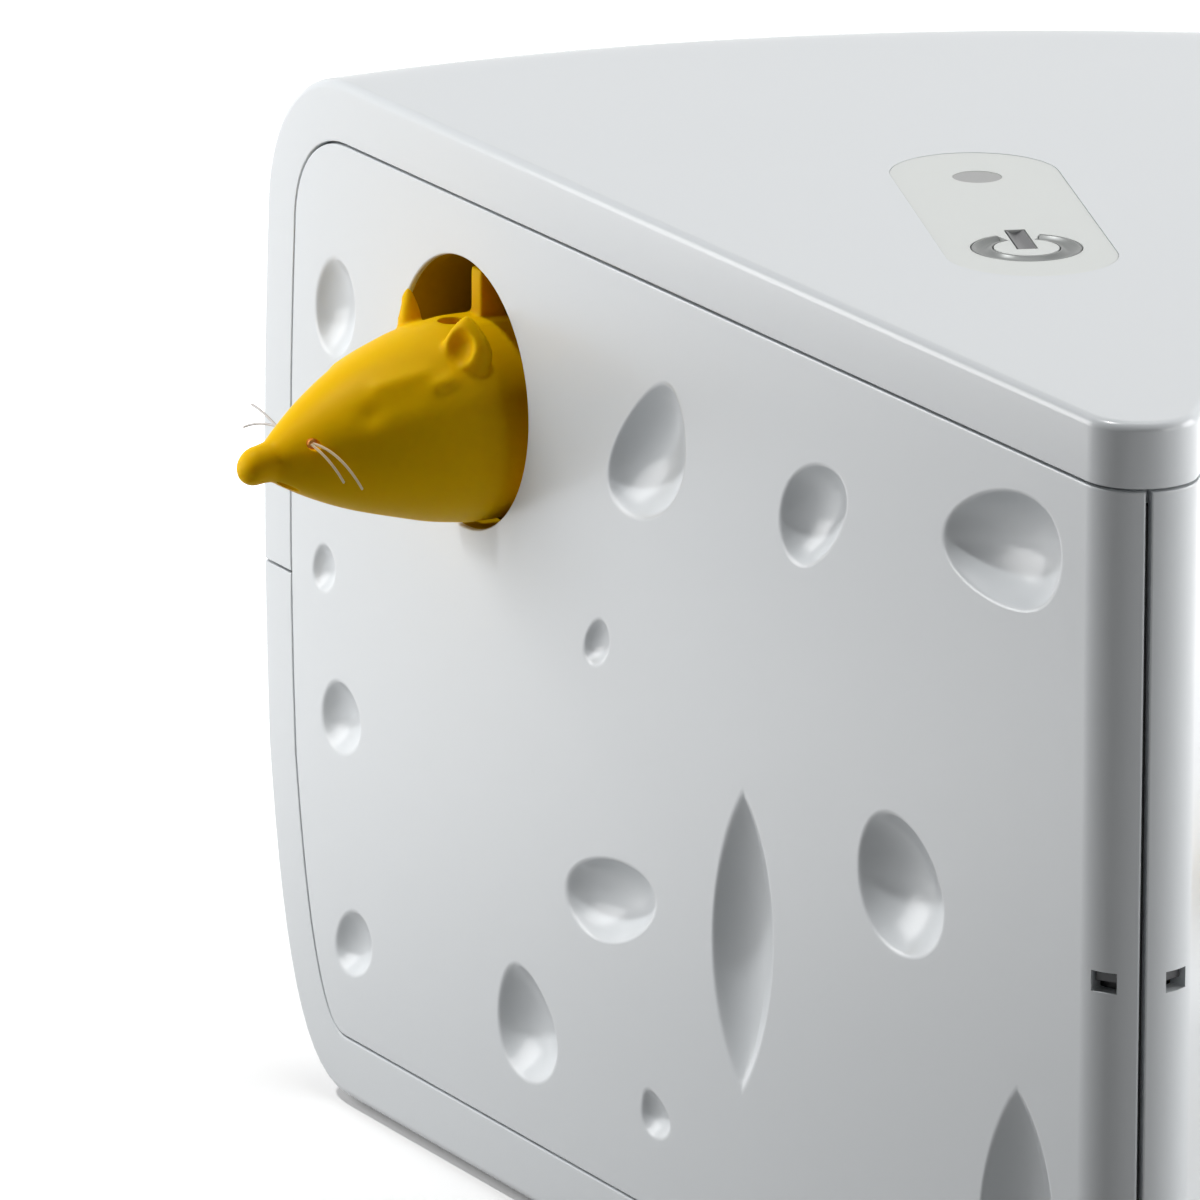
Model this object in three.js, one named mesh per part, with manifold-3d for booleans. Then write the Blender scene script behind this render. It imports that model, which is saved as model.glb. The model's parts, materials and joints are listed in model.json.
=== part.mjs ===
// A battery-run cat toy shaped like a wedge of cheese. Two mice peek out of holes in the side panels,
// each on a rack that a small geared motor drives in and out. Millimetres, +Z up, resting on z = 0.
import * as THREE from 'three';
import { mergeVertices } from 'three/addons/utils/BufferGeometryUtils.js';
import Module from 'manifold-3d';

const wasm = await Module();
wasm.setup();

// Wedge. It is measured from the line where the two side planes would meet.
const bodyHeight = 150;
const footDrop = 1.5;
const halfAngle = THREE.MathUtils.degToRad(20.4);
const apexRadius = 7.8;
const rindCentre = 39.9;
const bellyRadius = 214.3;
const shoulderRadius = 212.9;
const topFlatRadius = 188.5;
const bottomFlatRadius = 189;
const shoulderDrop = 24;
const heelRise = 46.5;
const splitHeight = 75;

// Bends of the rind's outline, as shares of the sizes that they join
const shoulderBendShares = [0.58, 0.59];
const heelBendShares = [0.586, 0.163, 0.376];
const bellyPullShare = 2;

// Walls and fits
const coverWall = 2.5;
const panelWall = 2.5;
const bandWidth = 8.8;
const lipWidth = 2.5;
const lipThickness = 2;
const fitGap = 0.3;
const panelGap = 0.3;
const apexSeam = 0.7;
const splitGap = 0.3;
const tongueRise = 4;
const tongueThickness = 1.5;
const runningGap = 0.08;
const overrun = 1;

// Mouse holes: distance from the apex line along the side, and the left one's distance from the top and
// the right one's from the underside
const holeRadius = 19.2;
const leftHoleAlong = 190.7;
const leftHoleBelowTop = 36.5;
const rightHoleAlong = 184;
const rightHoleRise = 41.5;

// Craters: the distance of the middle along the side, as a share of the wedge's reach, and its height, the
// width and the height of the dent, as shares of the body's height
const leftCraterShares = [
  [0.899, 0.780, 0.087, 0.114],
  [0.538, 0.789, 0.136, 0.139],
  [0.363, 0.797, 0.111, 0.103],
  [0.161, 0.849, 0.193, 0.115],
  [0.913, 0.521, 0.043, 0.059],
  [0.596, 0.582, 0.050, 0.050],
  [0.893, 0.383, 0.086, 0.098],
  [0.581, 0.343, 0.183, 0.095],
  [0.268, 0.499, 0.138, 0.144],
  [0.878, 0.167, 0.077, 0.073],
  [0.678, 0.185, 0.127, 0.130],
  [0.530, 0.163, 0.053, 0.050],
];
const leftSlashShares = [
  [0.434, 0.371, 0.118, 0.301],
  [0.144, 0.235, 0.138, 0.277],
];
const rightCraterShares = [
  [0.889, 0.253, 0.087, 0.114],
  [0.539, 0.253, 0.136, 0.120],
  [0.346, 0.333, 0.111, 0.103],
  [0.169, 0.200, 0.180, 0.115],
  [0.911, 0.507, 0.043, 0.059],
  [0.602, 0.467, 0.050, 0.050],
  [0.885, 0.673, 0.086, 0.098],
  [0.590, 0.667, 0.183, 0.095],
  [0.275, 0.560, 0.138, 0.144],
  [0.846, 0.833, 0.077, 0.073],
  [0.700, 0.813, 0.127, 0.130],
  [0.515, 0.853, 0.053, 0.050],
];
const rightSlashShares = [
  [0.429, 0.640, 0.118, 0.301],
  [0.146, 0.753, 0.138, 0.277],
];
const craterDepthShare = 0.2;
const slashDepthShare = 0.24;
const craterRiseShare = 1;
const scoopPadShare = 0.6;
const leastWall = 1;

// Latch windows beside the seam at the apex
const latchTurn = THREE.MathUtils.degToRad(38.5);
const latchHeight = 75.9;
const latchWide = 3.8;
const latchTall = 2.6;
const latchRecess = 1;
const latchFit = 0.2;
const postSpigotRadius = 2.6;

// Power key on the top, its symbol and its lamp
const keyHalfWidth = 11.6;
const keyFront = 91.4;
const keyBack = 160.2;
const keyRecess = 0.2;
const keyPlate = 2;
const keyFlange = 1.6;
const keyFlangeThickness = 1.4;
const keyStemRadius = 3;
const symbolAt = 107;
const symbolRadius = 7.8;
const symbolStroke = 3.1;
const symbolMouth = THREE.MathUtils.degToRad(24);
const symbolBarWide = 2.4;
const symbolBarFront = 105.5;
const symbolBarBack = 115.4;
const symbolBase = 0.8;
const symbolBaseRim = 1.2;
const lampAt = 146.5;
const lampRadius = 3.35;
const boardFront = 94;
const boardBack = 158;
const boardHalfWidth = 20;
const boardThickness = 1.6;
const boardDrop = 10.4;
const boardPostRadius = 2;
const boardPostInset = 4;
const switchSize = 6;
const switchHeight = 3.5;
const plungerRadius = 1.7;
const plungerRise = 1.3;
const plungerSink = 1.2;
const ledRadius = 1.5;
const ledHeight = 5;

// Batteries: three C cells across the wedge
const cellRadius = 13.1;
const cellLength = 50;
const cellCapRadius = 3.3;
const cellCapHeight = 1.5;
const cellCount = 3;
const cellRoom = 0.3;
const contactRoom = 1.2;
const contactPlate = 0.4;
const contactSize = 9;
const springRadius = 4.5;
const springTipRadius = 2.2;
const caseWall = 1.2;
const caseFront = 88.3;
const doorPlate = 1.8;
const doorTabLength = 2.6;
const doorTabThickness = 1.3;
const doorTabWide = 8;
const doorTabAt = 16;
const doorTongueLength = 7;
const doorTongueWide = 10.6;
const doorBossHeight = 8.4;
const doorBossWall = 2.6;

// Screws and screw posts
const screwRadius = 1.4;
const screwHeadRadius = 2.7;
const screwHeadHeight = 2.2;
const screwLength = 18;
const screwRoom = 0.3;
const postWall = 1.9;
const screwSeatDrop = 13.5;
const frontPostAt = 50;
const rearPostAlong = 225;
const rearPostInset = 15;
const doorScrewRadius = 1.1;
const doorScrewHeadRadius = 2.3;
const doorScrewHeadHeight = 1;
const doorScrewLength = 7;
const doorScrewRoom = 0.55;

// Feet
const footRadius = 6;
const footThickness = 2.5;
const frontFootAt = 62;
const rearFootAlong = 208;
const rearFootInset = 30;

// Mouse head, measured along its travel from the panel's face (u), across (v) and up from the hole's
// centre (w). The outline is radius against u, the droop lowers the snout.
const headBack = -7;
const headRadius = 14.45;
const headOutline = [
  [14.45, -7], [14.45, 1.1], [13.6, 7], [11.95, 12.8], [9.6, 18.6], [6.85, 23.7], [4.4, 27.8], [2.75, 29.8],
];
const noseAt = 31.8;
const noseRadius = 3;
const headDrop = 3.7;
const snoutDroop = 2.1;
const droopFrom = 9;
const droopOver = 19;
const ledgeHeight = 10.4;
const ledgeFront = 5;
const headBoreRadius = 9;
const headBoreFront = 4;
const earAcross = 9.4;
const earAt = 3.2;
const earRise = 8.6;
const earWide = 3.6;
const earTall = 4.6;
const earThick = 1.7;
const earTurn = THREE.MathUtils.degToRad(32);
const earCup = 1.1;
const eyeAt = 13.1;
const eyeRise = -0.3;
const eyeAcross = 12.3;
const eyeRadius = 1.6;
const whiskerAt = 26.4;
const whiskerRise = -1.9;
const whiskerRadius = 0.3;
const whiskerRoot = 0.8;
const whiskerReach = 13;
const whiskerBendShares = [
  { back: 0.077, lift: 0.2 },
  { back: 0.169, lift: -0.2 },
  { back: 0.354, lift: -0.369 },
];
const headScrewAt = 1.6;
const headScrewRadius = 0.9;
const headScrewHeadRadius = 1.7;
const headScrewHeadHeight = 1;
const headScrewLength = 8;
const headScrewRecess = 3.6;

// Upright fin behind the ledge
const finFront = -2.9;
const finInner = -3;
const finThickness = 3;
const finTop = 17;

// Slide: spigot in the head, shoe, and the rack bar behind
const mouseTravel = 36;
const spigotHalfWidth = 5;
const spigotTop = 4;
const spigotFoot = 10.5;
const slideNeckLength = 7;
const shoeHalfWidth = 8;
const shoeBottom = 17.4;
const shoeThickness = 3.4;
const barHalfWidth = 3.3;

// Tunnel that lines the hole
const tunnelInner = 19.6;
const tunnelWall = 1.8;
const tunnelLength = 28;
const tunnelFlange = 25;
const tunnelFlangeThickness = 2;
const stakeRadius = 1.2;
const stakeLength = 3.4;
const stakeTurn = THREE.MathUtils.degToRad(45);

// Gear train. Each wheel has a number of teeth and a module; tooth forms are shares of these.
const rackModule = 1.2;
const rackPinionTeeth = 10;
const slowModule = 1;
const outputTeeth = 18;
const idlerPinionTeeth = 8;
const fastModule = 0.8;
const idlerTeeth = 24;
const motorTeeth = 8;
const toothHeadShare = 0.8;
const toothFootShare = 1.2;
const toothTipShare = 0.11;
const toothRootShare = 0.26;
const rackDepth = 19.2;
const rackSpareTeeth = 1;
const pinionAt = 58;
const gearFaceWide = 3;
const gearGap = 1.3;
const hubRadius = 1.9;
const axleRadius = 1;
const plateThickness = 1.6;
const plateAcross = 8.4;
const plateFront = 44;
const plateBack = 98;
const plateBottom = 38.7;
const plateLowTop = 17;
const plateHighTop = 9.7;
const plateStepFront = 54;
const plateStepBack = 66;
const keeperLength = 4;
const keeperThickness = 1.5;
const spacerRadius = 2;
const motorRadius = 10;
const motorHalfHeight = 7.7;
const motorLength = 25;
const motorCapRadius = 3;
const motorCapLength = 1.4;
const motorShaftRadius = 1;
const motorShaftInside = 8;
const terminalSize = 1.6;
const switchBoxLength = 10;
const switchBoxWide = 4;
const switchBoxTall = 6;
const switchLeverTall = 1.6;
const switchLeverLong = 5;

// How finely round shapes are faceted
const rindSides = 80;
const apexSides = 8;
const holeSides = 28;
const roundSides = 16;
const smallSides = 8;
const curveSteps = 4;
const craterSides = 10;
const craterRings = 5;

// Colours, roughness and metalness of the finishes
const finishes = {
  whiteGloss: { color: 0xdfe3e6, roughness: 0.18, metalness: 0 },
  milkyPlastic: { color: 0xe2e3de, roughness: 0.4, metalness: 0 },
  greyInlay: { color: 0x8a8d8c, roughness: 0.3, metalness: 0.5 },
  yellowPlastic: { color: 0xd9ad00, roughness: 0.35, metalness: 0 },
  naturalPlastic: { color: 0xe4e0d2, roughness: 0.5, metalness: 0 },
  blackPlastic: { color: 0x26282a, roughness: 0.55, metalness: 0 },
  steel: { color: 0xa9acb0, roughness: 0.3, metalness: 1 },
  brass: { color: 0xb08d4a, roughness: 0.35, metalness: 1 },
  cellJacket: { color: 0x3a3f45, roughness: 0.4, metalness: 0 },
  greenBoard: { color: 0x1f5a33, roughness: 0.5, metalness: 0 },
  greyRubber: { color: 0x55585a, roughness: 0.85, metalness: 0 },
  redLamp: { color: 0xc23a2c, roughness: 0.25, metalness: 0 },
  nylon: { color: 0xe9dcc0, roughness: 0.35, metalness: 0 },
};

// Closed mesh to solid and back

function toSolid(geometry) {
  const bare = geometry.index ? geometry.toNonIndexed() : geometry.clone();
  bare.deleteAttribute('normal');
  bare.deleteAttribute('uv');
  const merged = mergeVertices(bare);
  const vertProperties = merged.attributes.position.array;
  const build = (triVerts) => new wasm.Manifold(new wasm.Mesh({ numProp: 3, vertProperties, triVerts }));
  const corners = new Uint32Array(merged.index.array);
  const made = build(corners);
  return made.volume() < 0 ? build(turnedOver(corners)) : made;
}

function turnedOver(corners) {
  const turned = corners.slice();
  for (let i = 0; i < turned.length; i += 3) {
    turned[i] = corners[i + 1];
    turned[i + 1] = corners[i];
  }
  return turned;
}

function toGeometry(solid) {
  const made = solid.getMesh();
  const stride = made.numProp;
  const places = new Float32Array(made.numVert * 3);
  for (let i = 0; i < made.numVert; i++) {
    places.set(made.vertProperties.subarray(i * stride, i * stride + 3), i * 3);
  }
  const geometry = new THREE.BufferGeometry();
  geometry.setAttribute('position', new THREE.BufferAttribute(places, 3));
  geometry.setIndex(new THREE.BufferAttribute(new Uint32Array(made.triVerts), 1));
  const flat = geometry.toNonIndexed();
  flat.computeVertexNormals();
  return flat;
}

const joined = (...solids) => solids.reduce((whole, next) => whole.add(next));
const cut = (solid, ...tools) => tools.reduce((whole, tool) => whole.subtract(tool), solid);
const mirroredSolid = (solid) => toSolid(toGeometry(solid).scale(-1, 1, 1));

// Plain forms

function block(x0, x1, y0, y1, z0, z1) {
  const geometry = new THREE.BoxGeometry(x1 - x0, y1 - y0, z1 - z0);
  return toSolid(geometry.translate((x0 + x1) / 2, (y0 + y1) / 2, (z0 + z1) / 2));
}

// A rod along 'x', 'y' or 'z' from one end to the other, with its middle at the two other coordinates
function rodGeometry(axis, from, to, a, b, radius, sides = roundSides, endRadius = radius) {
  const rod = new THREE.CylinderGeometry(endRadius, radius, to - from, sides);
  rod.translate(0, (from + to) / 2, 0);
  if (axis === 'x') return rod.rotateZ(-Math.PI / 2).translate(0, a, b);
  if (axis === 'z') return rod.rotateX(Math.PI / 2).translate(a, b, 0);
  return rod.translate(a, 0, b);
}

const rod = (...sizes) => toSolid(rodGeometry(...sizes));
const boreRadius = (radius, sides) => radius / Math.cos(Math.PI / sides);

function prism(points, depth) {
  return new THREE.ExtrudeGeometry(new THREE.Shape(points), { depth, bevelEnabled: false });
}

// A line of points moved sideways to its left by a distance
function offsetLine(points, distance) {
  return points.map((point, i) => {
    const before = points[Math.max(i - 1, 0)];
    const after = points[Math.min(i + 1, points.length - 1)];
    const into = point.clone().sub(before).normalize();
    const out = after.clone().sub(point).normalize();
    if (i === 0) into.copy(out);
    if (i === points.length - 1) out.copy(into);
    const normal = new THREE.Vector2(-(into.y + out.y), into.x + out.x).normalize();
    const stretch = distance / (normal.x * -into.y + normal.y * into.x);
    return point.clone().add(normal.multiplyScalar(stretch));
  });
}

// Body of the wedge

const underside = footDrop;
const wedgeReach = rindCentre + bellyRadius;
const leftHole = { along: leftHoleAlong, height: bodyHeight - leftHoleBelowTop };
const rightHole = { along: rightHoleAlong, height: underside + rightHoleRise };
const dents = (shares) => shares.map(([along, height, width, tall]) => ({
  along: along * wedgeReach, height: height * bodyHeight, width: width * bodyHeight, tall: tall * bodyHeight,
}));
const apexCentre = apexRadius / Math.sin(halfAngle);

// Outline of the round rind, from the middle of the underside up and round to the middle of the top
function rindOutline() {
  const path = new THREE.Path();
  const shoulderHeight = bodyHeight - shoulderDrop;
  const heelHeight = underside + heelRise;
  const heelWide = shoulderRadius - bottomFlatRadius;
  const bellyPull = shoulderRadius + (bellyRadius - shoulderRadius) * bellyPullShare;
  path.moveTo(0, underside);
  path.lineTo(bottomFlatRadius, underside);
  path.bezierCurveTo(
    bottomFlatRadius + heelWide * heelBendShares[0], underside,
    shoulderRadius - heelWide * heelBendShares[1], underside + heelRise * heelBendShares[2],
    shoulderRadius, heelHeight,
  );
  path.quadraticCurveTo(bellyPull, (heelHeight + shoulderHeight) / 2, shoulderRadius, shoulderHeight);
  path.bezierCurveTo(
    shoulderRadius, shoulderHeight + shoulderDrop * shoulderBendShares[0],
    topFlatRadius + (shoulderRadius - topFlatRadius) * shoulderBendShares[1], bodyHeight,
    topFlatRadius, bodyHeight,
  );
  path.lineTo(0, bodyHeight);
  return path.getPoints(curveSteps);
}

const rindPoints = rindOutline();

function rindSolid(inset) {
  const line = offsetLine(rindPoints, inset);
  const revolve = new THREE.LatheGeometry(line.map((p) => new THREE.Vector2(Math.max(p.x, 0), p.y)),
    rindSides);
  return toSolid(revolve.rotateX(Math.PI / 2).translate(0, rindCentre, 0));
}

// Plan of the wedge, moved inwards by an inset, as a prism over the whole height
function wedgePrism(inset) {
  const shape = new THREE.Shape();
  const radius = apexRadius - inset;
  const far = wedgeReach + overrun;
  const spread = far * Math.tan(halfAngle) - inset / Math.cos(halfAngle);
  shape.moveTo(spread, far);
  shape.lineTo(-spread, far);
  for (let i = 0; i <= apexSides; i++) {
    const turn = Math.PI + halfAngle + (i / apexSides) * (Math.PI - halfAngle * 2);
    shape.lineTo(Math.cos(turn) * radius, apexCentre + Math.sin(turn) * radius);
  }
  const tall = bodyHeight + overrun * 2;
  const upright = new THREE.ExtrudeGeometry(shape, { depth: tall, bevelEnabled: false });
  return toSolid(upright.translate(0, 0, -overrun));
}

// Where the rind meets a side plane: distance along the side for a radius of the rind
function alongSide(radius) {
  const reach = radius ** 2 - (rindCentre * Math.sin(halfAngle)) ** 2;
  return rindCentre * Math.cos(halfAngle) + Math.sqrt(reach);
}

// Outline of a side, moved inwards by an inset, starting in front of the apex
function sideOutline(inset) {
  const lead = -apexRadius * 2;
  const curve = rindPoints.slice(1, -1).map((p) => new THREE.Vector2(alongSide(p.x), p.y));
  const line = [new THREE.Vector2(lead, underside), ...curve, new THREE.Vector2(lead, bodyHeight)];
  return offsetLine(line, inset);
}

// Axes of the left side: along it, up, and inwards
const leftAlong = new THREE.Vector3(-Math.sin(halfAngle), Math.cos(halfAngle), 0);
const leftInward = new THREE.Vector3(Math.cos(halfAngle), Math.sin(halfAngle), 0);
const upward = new THREE.Vector3(0, 0, 1);

// A place given by distance along the left side, height and depth below its face
function onLeft(along, height, depth = 0) {
  const place = leftAlong.clone().multiplyScalar(along).add(leftInward.clone().multiplyScalar(depth));
  return place.setZ(height);
}

// Moves a form drawn along the side, up and inwards onto the left side
function toLeftSide(geometry, along = 0, height = 0, depth = 0) {
  const basis = new THREE.Matrix4().makeBasis(leftAlong, upward, leftInward);
  return geometry.applyMatrix4(basis.setPosition(onLeft(along, height, depth)));
}

const halfSpan = wedgeReach;
const leftHalf = (gap) => block(-halfSpan, -gap, -overrun, wedgeReach + overrun * 2, -overrun,
  bodyHeight + overrun);

// The room inside the panel's outline on the left, from the face inwards
function leftZone(inset, reach, seam = 0) {
  const outline = toSolid(toLeftSide(prism(sideOutline(inset), reach), 0, 0, -overrun));
  return outline.intersect(leftHalf(seam));
}

// The part of a skin between two depths that lies inside the panel's outline on the left
function leftSkin(inset, outerDepth, innerDepth, seam = 0) {
  const skin = cut(wedgePrism(outerDepth), wedgePrism(innerDepth));
  return leftZone(inset, apexRadius * 2 + innerDepth, seam).intersect(skin);
}

// Covers

const bandDepth = panelWall + fitGap + lipThickness;
const innerTop = bodyHeight - coverWall;
const innerBottom = underside + coverWall;

function bodyShell() {
  const outer = rindSolid(0).intersect(wedgePrism(0));
  const inner = rindSolid(coverWall).intersect(wedgePrism(bandDepth));
  const opening = leftSkin(bandWidth, -overrun, panelWall + fitGap, -fitGap);
  const window = leftSkin(bandWidth + lipWidth, -overrun, bandDepth + overrun, -fitGap);
  return cut(outer, inner, opening, window, mirroredSolid(opening), mirroredSolid(window));
}

const shell = bodyShell();
const splitTop = splitHeight + splitGap / 2;
const splitBottom = splitHeight - splitGap / 2;

const slab = (from, to) => block(-halfSpan, halfSpan, -overrun, wedgeReach + overrun * 2, from, to);

// Screw posts: one on the centre line near the apex and one in each rear corner
const rearPost = onLeft(rearPostAlong, 0, rearPostInset);
const screwPosts = [
  { x: 0, y: frontPostAt },
  { x: rearPost.x, y: rearPost.y },
  { x: -rearPost.x, y: rearPost.y },
];
const screwBore = screwRadius + screwRoom;
const counterbore = screwHeadRadius + screwRoom;
const lowerPostRadius = counterbore + postWall;
const upperPostRadius = screwBore + postWall;
const screwSeat = splitHeight - screwSeatDrop;
const screwTop = screwSeat + screwLength;

const keyEndRadius = keyHalfWidth;

// A slab with two round ends along y, grown by a margin
function stadium(halfWidth, front, back, margin, z0, z1) {
  const radius = halfWidth + margin;
  const ends = [back - halfWidth, front + halfWidth];
  return joined(
    block(-radius, radius, ends[1], ends[0], z0, z1),
    rod('z', z0, z1, 0, ends[0], radius, holeSides),
    rod('z', z0, z1, 0, ends[1], radius, holeSides),
  );
}

const boardTop = innerTop - boardDrop + boardThickness;
const boardBottom = boardTop - boardThickness;
const boardPosts = [-1, 1].flatMap((side) => [boardFront, boardBack].map((y, i) => ({
  x: side * (boardHalfWidth - boardPostInset),
  y: y + (i ? -boardPostInset : boardPostInset),
})));

// The left drive hangs from the top cover by two stays
const keeperPlaces = [plateStepBack, plateBack - keeperLength];
const staySide = keeperLength;

function topCover() {
  let cover = shell.intersect(slab(splitTop, bodyHeight + overrun));
  for (const { x, y } of screwPosts) {
    cover = cover.add(rod('z', splitTop, innerTop + fitGap, x, y, upperPostRadius, roundSides));
    cover = cover.subtract(rod('z', splitTop - overrun, screwTop + fitGap, x, y, screwBore, smallSides));
  }
  for (const { x, y } of boardPosts) {
    cover = cover.add(rod('z', boardTop + fitGap, innerTop + fitGap, x, y, boardPostRadius, smallSides));
  }
  const keeperTop = leftHole.height - plateHighTop + fitGap;
  for (const back of keeperPlaces) {
    const stay = new THREE.BoxGeometry(staySide, innerTop + fitGap - keeperTop, staySide);
    const middle = (innerTop + fitGap + keeperTop) / 2;
    cover = cover.add(toSolid(toLeftSide(stay, leftHole.along, middle, back + keeperLength / 2)));
  }
  return cut(cover,
    stadium(keyHalfWidth, keyFront, keyBack, fitGap, innerTop - overrun, bodyHeight + overrun));
}

// Batteries' places, shared by the case, the door and the cells
const cellPitch = cellRadius * 2 + cellRoom;
const troughRadius = cellRadius + cellRoom;
const doorTop = underside + doorPlate;
const cellHeight = doorTop + cellRoom + cellRadius;
const troughHalfLength = cellLength / 2 + contactRoom;
const caseHalfWidth = troughHalfLength + caseWall;
const troughFront = caseFront + caseWall;
const troughBack = troughFront + troughRadius * 2 + cellPitch * (cellCount - 1);
const caseBack = troughBack + caseWall;
const caseTop = cellHeight + troughRadius + caseWall;
const caseBottom = innerBottom + fitGap;
const cellPlaces = Array.from({ length: cellCount }, (_, i) => troughFront + troughRadius + cellPitch * i);

const doorScrewAt = caseBack + doorTongueLength / 2;
const tongueBack = caseBack + doorTongueLength;
const doorHalfWidth = troughHalfLength;

// The door's opening in the underside, grown by a margin
function doorOpening(margin, z0, z1) {
  return joined(
    block(-doorHalfWidth - margin, doorHalfWidth + margin, troughFront - margin, troughBack + margin, z0, z1),
    block(
      -doorTongueWide / 2 - margin, doorTongueWide / 2 + margin,
      troughBack - overrun, tongueBack + margin, z0, z1,
    ),
  );
}

const rearFoot = onLeft(rearFootAlong, 0, rearFootInset);
const footPlaces = [
  { name: 'foot_front', x: 0, y: frontFootAt },
  { name: 'foot_left', x: rearFoot.x, y: rearFoot.y },
  { name: 'foot_right', x: -rearFoot.x, y: rearFoot.y },
];

// A tongue inside the lower cover's rim locates the upper cover
function rimTongue() {
  const outer = coverWall + fitGap;
  const inner = outer + tongueThickness;
  const ring = cut(rindSolid(outer),
    rindSolid(inner)).intersect(slab(splitBottom - tongueRise, splitTop + tongueRise));
  const root = cut(rindSolid(coverWall - fitGap),
    rindSolid(inner)).intersect(slab(splitBottom - tongueRise, splitBottom));
  return ring.add(root).intersect(wedgePrism(bandDepth + fitGap));
}

function bottomCover() {
  let cover = shell.intersect(slab(-overrun, splitBottom)).add(rimTongue());
  for (const { x, y } of screwPosts) {
    cover = cover.add(rod('z', innerBottom - fitGap, splitBottom, x, y, lowerPostRadius, roundSides));
    cover = cover.subtract(rod('z', underside - overrun, screwSeat, x, y, counterbore, roundSides));
    cover = cover.subtract(rod('z', screwSeat - overrun, splitTop, x, y, screwBore, smallSides));
  }
  const bossTop = doorTop + fitGap + doorBossHeight;
  const bossHalf = doorTongueWide / 2 + doorBossWall;
  const boss = block(-bossHalf, bossHalf, caseBack + fitGap, tongueBack + doorBossWall, underside, bossTop);
  cover = cover.add(boss);
  const through = block(
    -doorHalfWidth - fitGap, doorHalfWidth + fitGap, troughFront - fitGap, troughBack + fitGap,
    underside - overrun, innerBottom + overrun,
  );
  const pocket = doorOpening(fitGap, underside - overrun, doorTop + fitGap);
  const screwHole = rod('z', doorTop, bossTop + overrun, 0, doorScrewAt, doorScrewRadius + doorScrewRoom,
    smallSides);
  cover = cut(cover, through, pocket, screwHole);
  for (const { x, y } of footPlaces) {
    cover = cover.subtract(rod('z', -overrun, footThickness + fitGap, x, y, footRadius + fitGap, roundSides));
  }
  return cover;
}

// Panels

const craterDepth = ({ width, tall }) => craterDepthShare * Math.sqrt(width * tall);

// A scoop is the end cap of an ellipsoid whose middle stands off the face
function scoop({ along, height, width, tall }) {
  const depth = craterDepth({ width, tall });
  const rise = depth * craterRiseShare;
  const wide = Math.sqrt(1 - (rise / (depth + rise)) ** 2);
  const ball = new THREE.SphereGeometry(1, craterSides, craterRings);
  ball.rotateX(Math.PI / 2);
  ball.scale(width / 2 / wide, tall / 2 / wide, depth + rise);
  return toSolid(toLeftSide(ball, along, height, -rise));
}

// Pad behind a scoop that keeps the wall whole
function scoopPad({ along, height, width, tall }) {
  const deep = craterDepth({ width, tall });
  const pad = new THREE.CylinderGeometry(scoopPadShare, 1, deep + fitGap, craterSides);
  pad.rotateX(Math.PI / 2).scale(width / 2 + panelWall, tall / 2 + panelWall, 1);
  return toSolid(toLeftSide(pad, along, height, panelWall + (deep - fitGap) / 2));
}

// A slash is a spindle with its points up and down, sunk into the face to half its thickness
function slash({ along, height, width, tall }, grow) {
  const halfTall = tall / 2 + grow;
  const halfWide = width / 2 + grow;
  const arc = Array.from({ length: craterRings }, (_, i) => {
    const share = (i / (craterRings - 1)) * 2 - 1;
    return new THREE.Vector2(halfWide * (1 - share ** 2), halfTall * share);
  });
  const spindle = new THREE.LatheGeometry(arc, craterSides);
  spindle.scale(1, 1, (slashDepthShare * width + grow) / halfWide);
  return toSolid(toLeftSide(spindle, along, height));
}

// Heat stakes beside the hole hold the tunnel's flange
const stakePlaces = [1, 3, 5, 7].map((turn) => stakeTurn * turn);
const stakeCircle = (holeRadius + tunnelFlange) / 2 + tunnelWall / 2;

function latchWindow(width, tall, fromRadius, toRadius, side) {
  const bar = new THREE.BoxGeometry(width, toRadius - fromRadius, tall);
  bar.translate(0, -(fromRadius + toRadius) / 2, latchHeight);
  return toSolid(bar.rotateZ(-side * latchTurn).translate(0, apexCentre, 0));
}

// A panel is made for the left side; the right one is mirrored from it
function sidePanel(hole, craters, slashes) {
  let panel = leftSkin(bandWidth + panelGap, 0, panelWall, apexSeam / 2);
  const room = leftZone(bandWidth + lipWidth + fitGap, apexRadius * 2, apexSeam / 2).intersect(wedgePrism(0));
  for (const crater of craters) {
    if (craterDepth(crater) > panelWall - leastWall) panel = panel.add(scoopPad(crater).intersect(room));
  }
  for (const crater of slashes) panel = panel.add(slash(crater, panelWall).intersect(room));
  for (const crater of craters) panel = panel.subtract(scoop(crater));
  for (const crater of slashes) panel = panel.subtract(slash(crater, 0));
  for (const turn of stakePlaces) {
    const along = hole.along + Math.cos(turn) * stakeCircle;
    const height = hole.height + Math.sin(turn) * stakeCircle;
    const pin = rodGeometry('z', panelWall - fitGap, panelWall + stakeLength, 0, 0, stakeRadius, smallSides);
    panel = panel.add(toSolid(toLeftSide(pin, along, height)));
  }
  const bore = rodGeometry('z', -overrun, panelWall + overrun, 0, 0, holeRadius, holeSides);
  const window = latchWindow(latchWide, latchTall, apexRadius - panelWall - overrun, apexRadius + overrun, 1);
  return cut(panel, toSolid(toLeftSide(bore, hole.along, hole.height)), window);
}

// Post behind the seam at the apex, with the two hooks that show in the windows
function apexPost() {
  const stout = apexRadius - panelWall - fitGap;
  const low = underside + bandWidth + lipWidth + fitGap;
  const high = bodyHeight - bandWidth - lipWidth - fitGap;
  const hookWide = latchWide - latchFit * 2;
  const hookTall = latchTall - latchFit * 2;
  const hooks = [-1, 1].map((side) => latchWindow(hookWide, hookTall, 0, apexRadius - latchRecess, side));
  return joined(
    rod('z', low, high, 0, apexCentre, stout, roundSides),
    rod('z', innerBottom + fitGap, innerTop - fitGap, 0, apexCentre, postSpigotRadius, smallSides),
    ...hooks,
  );
}

// Power key

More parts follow.
